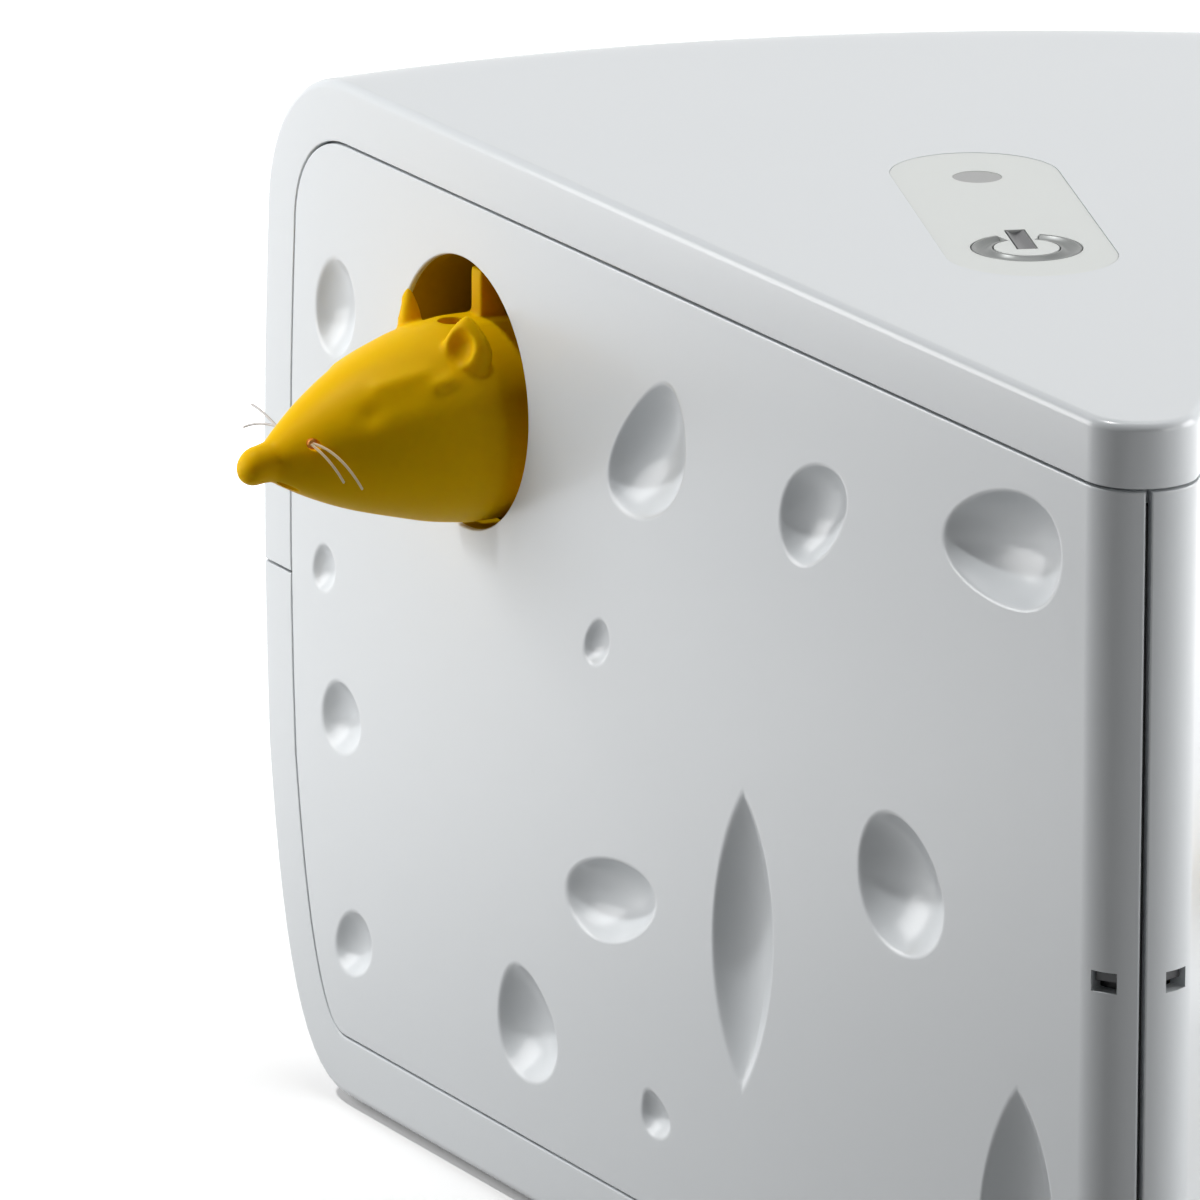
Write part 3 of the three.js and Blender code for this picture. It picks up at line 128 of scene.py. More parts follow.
def meshOf(piece):
    bm = bmesh.new()
    bm.from_mesh(piece.data)
    return bm


def faceOut(bm):
    bmesh.ops.recalc_face_normals(bm, faces=bm.faces)
    if bm.calc_volume(signed=True) < 0:
        bmesh.ops.reverse_faces(bm, faces=bm.faces)


def writeBack(piece, bm):
    bm.to_mesh(piece.data)
    bm.free()
    piece.data.update()


def bake(piece):
    graph = bpy.context.evaluated_depsgraph_get()
    made = bpy.data.meshes.new_from_object(piece.evaluated_get(graph))
    piece.modifiers.clear()
    old = piece.data
    piece.data = made
    bpy.data.meshes.remove(old)


def carve(piece, tools, operation="DIFFERENCE"):
    # a tool is an object or the mesh of one, and is gone afterwards
    tools = [newObject("tool", tool) if isinstance(tool, bmesh.types.BMesh) else tool for tool in tools]
    for tool in tools:
        step = piece.modifiers.new("cut", "BOOLEAN")
        step.operation = operation
        step.solver = "EXACT"
        step.object = tool
    bake(piece)
    for tool in tools:
        bpy.data.objects.remove(tool)
    return piece


def joinInto(target, source):
    copied = bpy.data.meshes.new("joined")
    source.to_mesh(copied)
    target.from_mesh(copied)
    bpy.data.meshes.remove(copied)
    source.free()


def only(kind, parts):
    return [part for part in parts if isinstance(part, kind)]


def prism(points, lift):
    bm = bmesh.new()
    face = bm.faces.new([bm.verts.new(point) for point in points])
    pushed = bmesh.ops.extrude_face_region(bm, geom=[face])["geom"]
    bmesh.ops.translate(bm, verts=only(bmesh.types.BMVert, pushed), vec=lift)
    faceOut(bm)
    return bm


def shift(bm, step):
    bmesh.ops.translate(bm, verts=bm.verts, vec=step)
    return bm


def rotate(bm, degrees, axis):
    turn = Matrix.Rotation(radians(degrees), 3, axis)
    bmesh.ops.rotate(bm, verts=bm.verts, cent=(0, 0, 0), matrix=turn)
    return bm


def spun(profile, steps, axis="x"):
    # profile is a list of (place along the axis, radius); a radius of nought closes the end
    bm = bmesh.new()
    line = [bm.verts.new((place, 0, radius)) for place, radius in profile]
    edges = [bm.edges.new(pair) for pair in zip(line, line[1:])]
    bmesh.ops.spin(
        bm, geom=line + edges, axis=(1, 0, 0), cent=(0, 0, 0), dvec=(0, 0, 0),
        angle=tau, steps=steps, use_merge=True, use_duplicate=False,
    )
    bmesh.ops.remove_doubles(bm, verts=bm.verts, dist=weld)
    if axis == "z":
        rotate(bm, -90, "Y")
    faceOut(bm)
    return bm


def cylinder(low, high, radius, steps, axis="x"):
    return spun([(low, 0), (low, radius), (high, radius), (high, 0)], steps, axis)


def block(low, high):
    bm = bmesh.new()
    size = [b - a for a, b in zip(low, high)]
    middle = [(a + b) / 2 for a, b in zip(low, high)]
    bmesh.ops.create_cube(bm, size=1, matrix=Matrix.Translation(middle) @ Matrix.Diagonal((*size, 1)))
    return bm


def bevelEdges(bm, edges, width, segments, clamp=False):
    bmesh.ops.bevel(
        bm, geom=edges, offset=width, offset_type="OFFSET", segments=segments,
        profile=0.5, affect="EDGES", material=-1, clamp_overlap=clamp,
    )


rims = {
    "weld": 0.002,
    "flat": radians(0.4),
    "nodeFlat": radians(1),
    "sharp": radians(40),
    "near": 0.02,
    "steps": 2,
}


def flatten(bm, angle):
    # joins faces that lie in one plane, so that what is left are the real edges
    bmesh.ops.dissolve_limit(
        bm, angle_limit=angle, verts=bm.verts, edges=bm.edges, use_dissolve_boundaries=False, delimit=set(),
    )
    bm.normal_update()


def softenRim(piece, skin, width):
    # rounds the sharp outward edges of a piece that lie on its outer skin
    bm = meshOf(piece)
    bmesh.ops.remove_doubles(bm, verts=bm.verts, dist=rims["weld"])
    flatten(bm, rims["flat"])
    onSkin = {v for v in bm.verts if skin.find_nearest(v.co)[3] < rims["near"]}
    picked = [
        e for e in bm.edges
        if e.verts[0] in onSkin and e.verts[1] in onSkin and len(e.link_faces) == 2
        and e.is_convex and e.calc_face_angle(0) > rims["sharp"]
    ]
    bevelEdges(bm, picked, width, rims["steps"])
    writeBack(piece, bm)


def treeOf(piece):
    bm = meshOf(piece)
    tree = BVHTree.FromBMesh(bm)
    bm.free()
    return tree


def mirrorX(piece):
    piece.data.transform(Matrix.Scale(-1, 4, (1, 0, 0)))
    piece.data.flip_normals()
    return piece


def finishPiece(piece, name, finish, body, node, place=None, sharp=32, weighted=True):
    # finish is the name of one finish, or a list of names in the order of the faces' numbers
    piece.name = name
    piece.data.name = name
    bm = meshOf(piece)
    # large faces with holes are split before anything merges, or they fill wrongly
    bmesh.ops.triangulate(bm, faces=[face for face in bm.faces if len(face.verts) > 4])
    bmesh.ops.transform(bm, matrix=toFrame @ (place or Matrix()), verts=bm.verts)
    bmesh.ops.remove_doubles(bm, verts=bm.verts, dist=weld * milli)
    writeBack(piece, bm)
    piece.data.shade_smooth()
    piece.data.set_sharp_from_angle(angle=radians(sharp))
    if isinstance(finish, str):
        piece.data.materials.clear()
        finish = [finish]
    for each in finish:
        piece.data.materials.append(materials[each])
    if weighted:
        step = piece.modifiers.new("even shading", "WEIGHTED_NORMAL")
        step.mode = "FACE_AREA"
        step.weight = 100
        step.keep_sharp = True
    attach(piece, body)
    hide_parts(node)


def bezier(a, b, c, d, steps):
    line = []
    for i in range(1, steps + 1):
        t = i / steps
        line.append(tuple(
            p * (1 - t) ** 3 + 3 * q * t * (1 - t) ** 2 + 3 * r * t * t * (1 - t) + s * t ** 3
            for p, q, r, s in zip(a, b, c, d)
        ))
    return line


def rindProfile(inset=0.0):
    # radius and height of the rind, from its flat underside up to its flat top
    low, high, steps = wedge["underside"], wedge["height"], wedge["rindSteps"]
    wide, bottom, top = wedge["shoulder"], wedge["bottomFlat"], wedge["topFlat"]
    heel, shoulder = (wide, low + wedge["heelRise"]), (wide, high - wedge["shoulderDrop"])
    # the side's curve bends towards this point, which makes it bulge to the belly's radius
    pull = (wedge["belly"] * 2 - wide, (heel[1] + shoulder[1]) / 2)
    first, second, lift = wedge["heelBend"]
    rise, crown = wedge["shoulderBend"]
    line = [(bottom, low)]
    line += bezier(
        line[0], (bottom + (wide - bottom) * first, low),
        (wide - (wide - bottom) * second, low + wedge["heelRise"] * lift), heel, steps,
    )
    near, far = (tuple(a + (b - a) * 2 / 3 for a, b in zip(end, pull)) for end in (heel, shoulder))
    line += bezier(heel, near, far, shoulder, steps // 2)
    line += bezier(
        shoulder, (wide, shoulder[1] + wedge["shoulderDrop"] * rise),
        (top + (wide - top) * crown, high), (top, high), steps,
    )
    return offsetLine(line, inset) if inset else line


def offsetLine(line, distance):
    moved = []
    for i, (x, y) in enumerate(line):
        before = line[max(i - 1, 0)]
        after = line[min(i + 1, len(line) - 1)]
        along = Vector((after[0] - before[0], after[1] - before[1])).normalized()
        moved.append((x - along.y * distance, y + along.x * distance))
    moved[0] = (moved[0][0], line[0][1] + distance)
    moved[-1] = (moved[-1][0], line[-1][1] - distance)
    return moved


def wedgeSolid(sideInset=0.0, rindInset=0.0, edgeRadius=0.0):
    profile = rindProfile(rindInset)
    rows, columns = len(profile) - 1, wedge["rindColumns"]
    bm = bmesh.new()
    bmesh.ops.create_grid(bm, x_segments=columns, y_segments=rows, size=1)
    grid = {}
    for v in bm.verts:
        share, row = v.co.x, round((v.co.y + 1) / 2 * rows)
        grid[round((share + 1) / 2 * columns), row] = v
        radius, height = profile[row]
        turn = wedge["halfAngle"] + asin((wedge["rindCentre"] * sinHalf - sideInset) / radius)
        turn *= share
        v.co = (radius * sin(turn), wedge["rindCentre"] + radius * cos(turn), height)
    apex = []
    apexRadius = wedge["apexRadius"] - sideInset
    low, high = profile[0][1], profile[-1][1]
    for i in range(wedge["apexSteps"] + 1):
        turn = pi + wedge["halfAngle"] + i / wedge["apexSteps"] * (pi - 2 * wedge["halfAngle"])
        x, y = cos(turn) * apexRadius, apexCentre + sin(turn) * apexRadius
        apex.append((bm.verts.new((x, y, low)), bm.verts.new((x, y, high))))
    left = [grid[0, row] for row in range(rows + 1)]
    right = [grid[columns, row] for row in range(rows + 1)]
    bm.faces.new([*left, apex[0][1], apex[0][0]])
    bm.faces.new([*right, apex[-1][1], apex[-1][0]])
    for (a, b), (c, d) in zip(apex, apex[1:]):
        bm.faces.new([a, b, d, c])
    bm.faces.new([grid[c, rows] for c in range(columns + 1)] + [high for _, high in reversed(apex)])
    bm.faces.new([grid[c, 0] for c in range(columns + 1)] + [low for low, _ in reversed(apex)])
    faceOut(bm)
    if edgeRadius:
        sharp = [e for e in bm.edges if e.calc_face_angle(0) > wedge["edgeSharp"]]
        bevelEdges(bm, sharp, edgeRadius, wedge["edgeSteps"])
    return newObject("wedge solid", bm)


def sideOutline(inset):
    # outline of a side panel in (distance along the side, height), open past the apex
    lead = -2 * wedge["apexRadius"]
    across = (wedge["rindCentre"] * sinHalf) ** 2
    line = [(lead, wedge["underside"])]
    line += [(wedge["rindCentre"] * cosHalf + sqrt(r * r - across), z) for r, z in rindProfile()]
    line += [(lead, wedge["height"])]
    return offsetLine(line, inset)


def onSide(along, height, depth):
    return Vector((-sinHalf * along + cosHalf * depth, cosHalf * along + sinHalf * depth, height))


sideBasis = Matrix(((-sinHalf, 0, cosHalf, 0), (cosHalf, 0, sinHalf, 0), (0, 1, 0, 0), (0, 0, 0, 1)))


def sideFace(along, height):
    # from a drawing on the left side's face, with z into the toy, to the toy
    return Matrix.Translation(onSide(along, height, 0)) @ sideBasis


def sidePrism(inset, depthFrom, depthTo, seam):
    points = [onSide(along, height, depthFrom) for along, height in sideOutline(inset)]
    bm = prism(points, onSide(0, 0, depthTo - depthFrom))
    cut = bmesh.ops.bisect_plane(
        bm, geom=bm.verts[:] + bm.edges[:] + bm.faces[:],
        plane_co=(seam, 0, 0), plane_no=(1, 0, 0), clear_outer=True,
    )
    bmesh.ops.holes_fill(bm, edges=only(bmesh.types.BMEdge, cut["geom_cut"]))
    faceOut(bm)
    return newObject("side prism", bm)


def sideOpenings(grow=0.0):
    # the room of both side panels, down to the faces that they lie on
    inset, deep = wedge["band"] + grow, 2 * wedge["apexRadius"]
    near, far = (sidePrism(inset, -covers["roomPast"], deep, wedge["gap"]) for _ in range(2))
    carve(near, [mirrorX(far)], "UNION")
    return carve(near, [wedgeSolid(wedge["panelWall"] + wedge["gap"] + grow, -wedge["rindPast"])])


covers = {
    "skin": 1.8,
    "overlap": 1.0,
    "trim": 0.05,
    "tongueInset": 2.65,
    # how far the cutting shapes reach past what they cut
    "roomPast": 2.0,
    "slabPast": 5.0,
    "slabBack": 20.0,
    "cutPast": 4.0,
    "cutInto": 0.3,
    "tongueLap": 1.0,
    "keyDeep": 12.0,
    "keyPast": 2.0,
    "keyHalfWidth": 11.6,
    "keyFront": 91.4,
    "keyBack": 160.2,
    "keyGap": 0.04,
    "doorHalf": 26.2,
    "doorFront": 89.5,
    "doorBack": 169.3,
    "tongueHalf": 5.3,
    "tongueBack": 177.5,
    "counterbore": 3.0,
    "frontScrew": 50.0,
    "rearScrew": (225.0, 15.0),
    "footRadius": 6.0,
    "frontFoot": 62.0,
    "rearFoot": (208.0, 30.0),
}


def stadium(halfWidth, front, back, low, high, steps=40):
    # a plate with two round ends along y
    points = []
    for middle, start in ((back - halfWidth, 0), (front + halfWidth, pi)):
        for i in range(steps + 1):
            turn = start + i / steps * pi
            points.append((cos(turn) * halfWidth, middle + sin(turn) * halfWidth, low))
    return prism(points, (0, 0, high - low))


def keyOutline(grow, low, high):
    front, back = covers["keyFront"] - grow, covers["keyBack"] + grow
    return stadium(covers["keyHalfWidth"] + grow, front, back, low, high)


def rod(low, high, radius, x, y, steps=48):
    return shift(cylinder(low, high, radius, steps, "z"), (x, y, 0))


def copyOfNode(name):
    # a merged copy of a CAD node, back in millimetres
    copied = linked(name + " copy", frame["nodes"][name].data.copy())
    bm = meshOf(copied)
    bmesh.ops.remove_doubles(bm, verts=bm.verts, dist=nodeWeld)
    bmesh.ops.transform(bm, matrix=toFrame.inverted(), verts=bm.verts)
    faceOut(bm)
    writeBack(copied, bm)
    return copied


def threeSpots(front, rear):
    spot = onSide(rear[0], 0, rear[1])
    return (0, front), (spot.x, spot.y), (-spot.x, spot.y)


def undersideCuts():
    # battery opening, screw wells and foot wells; a hair smaller than those of the structure behind
    edge = wedge["gap"] - covers["trim"]
    low = wedge["underside"] - covers["cutPast"]
    high = wedge["underside"] + covers["skin"] + covers["cutInto"]
    half, tongue = covers["doorHalf"] + edge, covers["tongueHalf"] + edge
    front, back = covers["doorFront"] - edge, covers["doorBack"] + edge
    lap, tongueBack = covers["doorBack"] - covers["tongueLap"], covers["tongueBack"] + edge
    cuts = [
        block((-half, front, low), (half, back, high)),
        block((-tongue, lap, low), (tongue, tongueBack, high)),
    ]
    for x, y in threeSpots(covers["frontScrew"], covers["rearScrew"]):
        cuts.append(rod(low, high, covers["counterbore"] - covers["trim"], x, y))
    for x, y in threeSpots(covers["frontFoot"], covers["rearFoot"]):
        cuts.append(rod(low, high, covers["footRadius"] + edge, x, y))
    return cuts


def slab(low, high):
    past = covers["slabPast"]
    return block((-reach, -past, low), (reach, reach + covers["slabBack"], high))


def makeCovers():
    skinSolid = wedgeSolid(0, 0, wedge["edgeRadius"])
    skin = treeOf(skinSolid)
    shell = carve(skinSolid, [wedgeSolid(covers["skin"], covers["skin"])])
    trim, past = covers["trim"], covers["slabPast"]
    made = {}
    for name, low, high in (
        ("bottom_cover", -past, wedge["splitLow"]),
        ("top_cover", wedge["splitHigh"], wedge["height"] + past),
    ):
        half = linked(name, shell.data.copy())
        carve(half, [slab(low, high)], "INTERSECT")
        cuts = [sideOpenings()]
        if name == "bottom_cover":
            cuts += undersideCuts()
        carve(half, cuts)
        softenRim(half, skin, wedge["seamRadius"])
        if name == "top_cover":
            under, over = wedge["height"] - covers["keyDeep"], wedge["height"] + covers["keyPast"]
            carve(half, [keyOutline(covers["keyGap"], under, over)])
        # the posts, ribs and tongue inside come from the solid of the same name, which reaches into the skin
        core = wedgeSolid(covers["overlap"], covers["overlap"])
        carve(core, [slab(low + trim, high - trim)], "INTERSECT")
        carve(core, [wedgeSolid(covers["tongueInset"], covers["tongueInset"])], "UNION")
        inner = carve(copyOfNode(name), [core], "INTERSECT")
        carve(inner, [sideOpenings(-trim)])
        bm = meshOf(half)
        joinInto(bm, meshOf(inner))
        writeBack(half, bm)
        bpy.data.objects.remove(inner)
        made[name] = half
    bpy.data.objects.remove(shell)
    return made


panels = {
    "dentRows": 26,
    "dentColumns": 56,
    "depthShare": 0.22,
    "slashDepthShare": 0.24,
    "rimBlend": 0.42,
    "rimSink": 0.05,
    # how much of a ball's radius squared a bowl takes up, and how steep its wall is
    "bowlShare": 0.75,
    "wallSteep": 3,
    "pointPower": 1.7,
    "toolTop": 3.0,
    # the tool's last two rings: how wide, and how high as a share of its top
    "collar": ((1.01, 0.5), (0, 1)),
    "padFrom": 1.3,
    "padWall": 1.4,
    "padLeast": 1.5,
    "blankPast": 1.0,
    "loopReach": 3.0,
    # place along the side as a share of the reach; height, width and height of the dent as shares of the
    # body's height; how much narrower the top is; turn in degrees
    "left": (
        (0.899, 0.780, 0.077, 0.093, 0.05, 0),
        (0.538, 0.786, 0.130, 0.127, 0.32, -12),
        (0.363, 0.797, 0.112, 0.093, -0.14, -12),
        (0.161, 0.847, 0.190, 0.108, -0.22, 28),
        (0.913, 0.521, 0.042, 0.044, 0.1, 0),
        (0.596, 0.582, 0.044, 0.042, 0.15, -8),
        (0.893, 0.383, 0.074, 0.069, 0.12, 6),
        (0.581, 0.343, 0.166, 0.078, -0.12, -12),
        (0.268, 0.499, 0.140, 0.130, 0.12, 12),
        (0.878, 0.167, 0.070, 0.061, 0.1, 0),
        (0.676, 0.182, 0.105, 0.111, 0.22, 10),
        (0.530, 0.163, 0.046, 0.044, 0.3, 14),
    ),
    "leftSlashes": (
        (0.434, 0.371, 0.109, 0.273),
        (0.144, 0.235, 0.126, 0.262),
    ),
    "right": (
        (0.889, 0.253, 0.077, 0.093, 0.05, 0),
        (0.539, 0.253, 0.130, 0.118, 0.3, 12),
        (0.346, 0.333, 0.112, 0.093, -0.14, -10),
        (0.169, 0.200, 0.178, 0.108, -0.2, 20),
        (0.911, 0.507, 0.042, 0.044, 0.1, 0),
        (0.602, 0.467, 0.044, 0.042, 0.15, -8),
        (0.885, 0.673, 0.074, 0.069, 0.12, 6),
        (0.590, 0.667, 0.166, 0.078, -0.12, -12),
        (0.275, 0.560, 0.140, 0.130, 0.12, 12),
        (0.846, 0.833, 0.070, 0.061, 0.1, 0),
        (0.700, 0.813, 0.105, 0.111, 0.22, 10),
        (0.515, 0.853, 0.046, 0.044, 0.3, 14),
    ),
    "rightSlashes": (
        (0.429, 0.640, 0.109, 0.273),
        (0.146, 0.753, 0.126, 0.262),
    ),
    # the dents are drawn as they look at a slant: how narrow that makes them, and how far they lean
    "slant": 0.481,
    "lean": 0.199,
    "latchTurn": 38.5,
    "latchHeight": 75.0,
    "latchWide": 3.8,
    "latchTall": 2.8,
    "latchNear": 3.0,
    "latchPast": 1.0,
    "seam": 0.35,
    "holeFlare": 0.4,
    "flareTurns": (20, 40, 60, 78),
    "flareLift": 0.02,
    "boreDepth": 8.0,
    "borePast": 3.0,
    "boreWider": 1.0,
    "boreSides": 112,
    "spigotDepth": 0.8,
    "spigotWall": 0.4,
    "spigotRoom": 0.05,
}


def dentTool(wide, tall, deep, narrow, turn, pointed, grow, top):
    # a bowl whose wall flares out into the face; it is a ball whose rings are moved to the bowl's curve
    rows, columns = panels["dentRows"], panels["dentColumns"]
    bm = bmesh.new()
    bmesh.ops.create_uvsphere(bm, u_segments=columns, v_segments=rows, radius=1)
    steep = panels["wallSteep"] * deep
    blend, sink = panels["rimBlend"], panels["rimSink"]
    edge = sqrt(1 - panels["bowlShare"])
    rimShare = 1 + (blend ** 2 / (4 * sink) - sink) / steep
    halfWide, halfTall = wide / 2 + grow, tall / 2 + grow
    spin = radians(turn)
    bowlRings = rows - 2
    for v in bm.verts:
        ring = round(acos(max(-1, min(1, -v.co.z))) / pi * rows)
        angle = atan2(v.co.y, v.co.x)
        if ring <= bowlRings:
            share = sin(ring / bowlRings * pi / 2) * (1 if grow else rimShare)
            arc = sqrt(1 - panels["bowlShare"] * min(share, 1) ** 2)
            bowl = deep * (arc - edge) / (1 - edge) - steep * max(share - 1, 0)
            z = sink - (bowl + sqrt(bowl * bowl + blend * blend)) / 2 - grow
        else:
            wider, higher = panels["collar"][ring - rows + 1]
            share, z = rimShare * wider, top * higher
        cosine, sine = cos(angle), sin(angle)
        if pointed:
            x = halfWide * copysign(abs(cosine) ** panels["pointPower"], cosine)
        else:
            x = halfWide * cosine * (1 - narrow * sine)
        x *= panels["slant"]
        y = halfTall * sine
        x, y = x * cos(spin) - y * sin(spin), x * sin(spin) + y * cos(spin)
        x /= panels["slant"]
        v.co = (-x * share, (y + panels["lean"] * x) * share, z)
    bmesh.ops.remove_doubles(bm, verts=bm.verts, dist=weld)
    return bm


def dentsOf(side, grow=0.0, top=panels["toolTop"]):
    # all the dents of a panel in one mesh, on the left side plane
    whole = bmesh.new()
    rows = [(*row, False) for row in panels[side]]
    rows += [(*row, 0, 0, True) for row in panels[side + "Slashes"]]
    for alongShare, heightShare, wideShare, tallShare, narrow, turn, pointed in rows:
        wide, tall = wideShare * wedge["height"], tallShare * wedge["height"]
        deep = panels["slashDepthShare"] * wide if pointed else panels["depthShare"] * sqrt(wide * tall)
        if grow and deep < panels["padLeast"]:
            continue
        dent = dentTool(wide, tall, deep, narrow, turn, pointed, grow, top)
        place = sideFace(alongShare * reach, heightShare * wedge["height"]) @ Matrix.Diagonal((1, 1, -1, 1))
        bmesh.ops.transform(dent, matrix=place, verts=dent.verts)
        faceOut(dent)
        joinInto(whole, dent)
    return whole


def holeBore(hole):
    # the room of the tunnel's spigot, and the hole before it with its flared rim
    flare, radius, lip = panels["holeFlare"], hole["radius"], -panels["spigotDepth"]
    seat = radius + panels["spigotWall"] + panels["spigotRoom"]
    deep = -panels["boreDepth"]
    profile = [(deep, 0), (deep, seat), (lip, seat), (lip, radius), (-flare, radius)]
    for turn in panels["flareTurns"]:
        a = radians(turn)
        profile.append((-flare + flare * sin(a) + panels["flareLift"], radius + flare * (1 - cos(a))))
    profile += [(panels["borePast"], radius + panels["boreWider"]), (panels["borePast"], 0)]
    bore = spun(profile, panels["boreSides"])
    place = sideFace(hole["along"], hole["height"]) @ Matrix.Rotation(pi / 2, 4, "Y")
    bmesh.ops.transform(bore, matrix=place, verts=bore.verts)
    faceOut(bore)
    return bore


def latchBlock():
    wide, tall, at = panels["latchWide"], panels["latchTall"], panels["latchHeight"]
    latch = block(
        (-wide / 2, -wedge["apexRadius"] - panels["latchPast"], at - tall / 2),
        (wide / 2, -panels["latchNear"], at + tall / 2),
    )
    return shift(rotate(latch, -panels["latchTurn"], "Z"), (0, apexCentre, 0))


def makePanel(side):
    skinSolid = wedgeSolid()
    skin = treeOf(skinSolid)
    deep = 2 * wedge["apexRadius"]
    panel = sidePrism(wedge["band"] + wedge["gap"], -panels["blankPast"], deep, -panels["seam"])
    carve(panel, [skinSolid], "INTERSECT")
    carve(panel, [wedgeSolid(wedge["panelWall"], -wedge["rindPast"])])
    softenRim(panel, skin, wedge["seamRadius"])
    # loops above and below the latch window keep its shading short
    bm = meshOf(panel)
    for step in (-panels["loopReach"], panels["loopReach"]):
        bmesh.ops.bisect_plane(
            bm, geom=bm.verts[:] + bm.edges[:] + bm.faces[:],
            plane_co=(0, 0, panels["latchHeight"] + step), plane_no=(0, 0, 1),
        )
    writeBack(panel, bm)
    carve(panel, [holeBore(holes[side]), latchBlock()])
    carve(panel, [dentsOf(side, panels["padWall"], -panels["padFrom"])], "UNION")
    carve(panel, [dentsOf(side)])
    return mirrorX(panel) if side == "right" else panel


def feed(tree, node, inputs):
    # each input gets a number, a colour, or the socket that drives it
    for name, value in inputs.items():
        if isinstance(value, bpy.types.NodeSocket):
            tree.links.new(value, node.inputs[name])
        else:
            node.inputs[name].default_value = value


def addNode(tree, kind, inputs=None, **settings):
    node = tree.nodes.new("ShaderNode" + kind)
    for name, value in settings.items():
        setattr(node, name, value)
    feed(tree, node, inputs or {})
    return node


def calculate(tree, operation, *values):
    return addNode(tree, "Math", dict(enumerate(values)), operation=operation).outputs[0]


def makeMouldedGroup():
    # fine orange peel, faint flow marks and dust specks of moulded plastic
    group = bpy.data.node_groups.new("mouldedSurface", "ShaderNodeTree")
    for name, way, kind, value in (
        ("Colour", "INPUT", "Color", (0.8, 0.8, 0.8, 1)),
        ("Dust colour", "INPUT", "Color", (0.4, 0.38, 0.35, 1)),
        ("Roughness", "INPUT", "Float", 0.3),
        ("Roughness spread", "INPUT", "Float", 0.06),
        ("Grain size", "INPUT", "Float", 1200.0),
        ("Dust", "INPUT", "Float", 0.05),
        ("Colour", "OUTPUT", "Color", None),
        ("Roughness", "OUTPUT", "Float", None),
        ("Height", "OUTPUT", "Float", None),
    ):
        socket = group.interface.new_socket(name=name, in_out=way, socket_type="NodeSocket" + kind)
        if value is not None:
            socket.default_value = value
    given = group.nodes.new("NodeGroupInput").outputs
    place = addNode(group, "TexCoord").outputs["Object"]
    grain = addNode(group, "TexNoise", {"Vector": place, "Scale": given["Grain size"], "Detail": 3})
    flow = addNode(group, "TexNoise", {"Vector": place, "Scale": 35, "Detail": 4, "Distortion": 0.6})
    centred = calculate(group, "SUBTRACT", flow.outputs["Fac"], 0.5)
    specks = addNode(group, "TexVoronoi", {"Vector": place, "Scale": 260})
    near = addNode(group, "MapRange", {
        "Value": specks.outputs["Distance"], "From Min": 0.02, "From Max": 0.07, "To Min": 1, "To Max": 0,
    })
    chance = addNode(group, "SeparateColor", {"Color": specks.outputs["Color"]}).outputs["Red"]
    mask = calculate(group, "MULTIPLY", near.outputs["Result"], calculate(group, "GREATER_THAN", chance, 0.88))
    mix = addNode(group, "Mix", {
        "Factor": calculate(group, "MULTIPLY", mask, given["Dust"]),
        "A": given["Colour"], "B": given["Dust colour"],
    }, data_type="RGBA")
    feed(group, group.nodes.new("NodeGroupOutput"), {
        "Colour": mix.outputs["Result"],
        "Roughness": calculate(group, "MULTIPLY_ADD", centred, given["Roughness spread"], given["Roughness"]),
        "Height": grain.outputs["Fac"],
    })
    return group


mouldedGroup = makeMouldedGroup()

finishes = {
    "white_shell": {"colour": (0.72, 0.75, 0.77), "roughness": 0.29, "bump": 0.02, "coat": 0.12},
    "milky_key": {"colour": (0.73, 0.755, 0.735), "roughness": 0.42, "bump": 0.03, "subsurface": 0.2},
    "grey_inlay": {"colour": (0.215, 0.225, 0.22), "roughness": 0.36, "bump": 0.02, "metallic": 0.25},
    "dark_inlay": {"colour": (0.075, 0.075, 0.08), "roughness": 0.3, "bump": 0.02, "metallic": 0.4},
    "lamp_grey": {"colour": (0.33, 0.335, 0.33), "roughness": 0.3, "bump": 0.02},
    "yellow_plastic": {
        "colour": (0.86, 0.50, 0.0), "roughness": 0.45, "grain": 900, "specular": 0.04,
        "subsurface": 0.3, "spread": (0.006, 0.003, 0.0003),
    },
    # the tunnel liner is the same yellow plastic as the mice, painted a darker yellow as painted shade inside
    # the tunnel
    "tunnel_yellow": {"colour": (0.42, 0.275, 0.0), "roughness": 0.5, "specular": 0.04},
    "natural_plastic": {"colour": (0.80, 0.77, 0.68), "roughness": 0.45},
    "black_plastic": {"colour": (0.018, 0.019, 0.021), "roughness": 0.5, "bump": 0.08, "dust": 0.12},
    "steel": {"colour": (0.48, 0.49, 0.5), "roughness": 0.3, "metallic": 1.0},
    "brass": {"colour": (0.58, 0.41, 0.16), "roughness": 0.3, "metallic": 1.0},
    "cell": {"colour": (0.04, 0.045, 0.05), "roughness": 0.35, "bump": 0.02},
    "motor": {"colour": (0.42, 0.43, 0.45), "roughness": 0.35, "metallic": 0.9},
    "board": {"colour": (0.012, 0.10, 0.035), "roughness": 0.4},
    "grey_rubber": {"colour": (0.09, 0.092, 0.095), "roughness": 0.8, "bump": 0.15, "grain": 700},
    "red_lamp": {"colour": (0.55, 0.03, 0.02), "roughness": 0.15, "bump": 0.01},
    "nylon": {"colour": (1.0, 0.80, 0.50), "roughness": 0.35, "bump": 0.02},
    # the far side's strands are the same nylon as the near ones, painted grey as painted shade
    "nylon_far_painted_shade": {"colour": (0.55, 0.52, 0.5), "roughness": 0.35, "bump": 0.02},
    # orange-brown of the whisker root, painted shade of the whisker hole that it fills
    "whisker_hole_painted_shade": {"colour": (0.78, 0.30, 0.02), "roughness": 0.5},
}


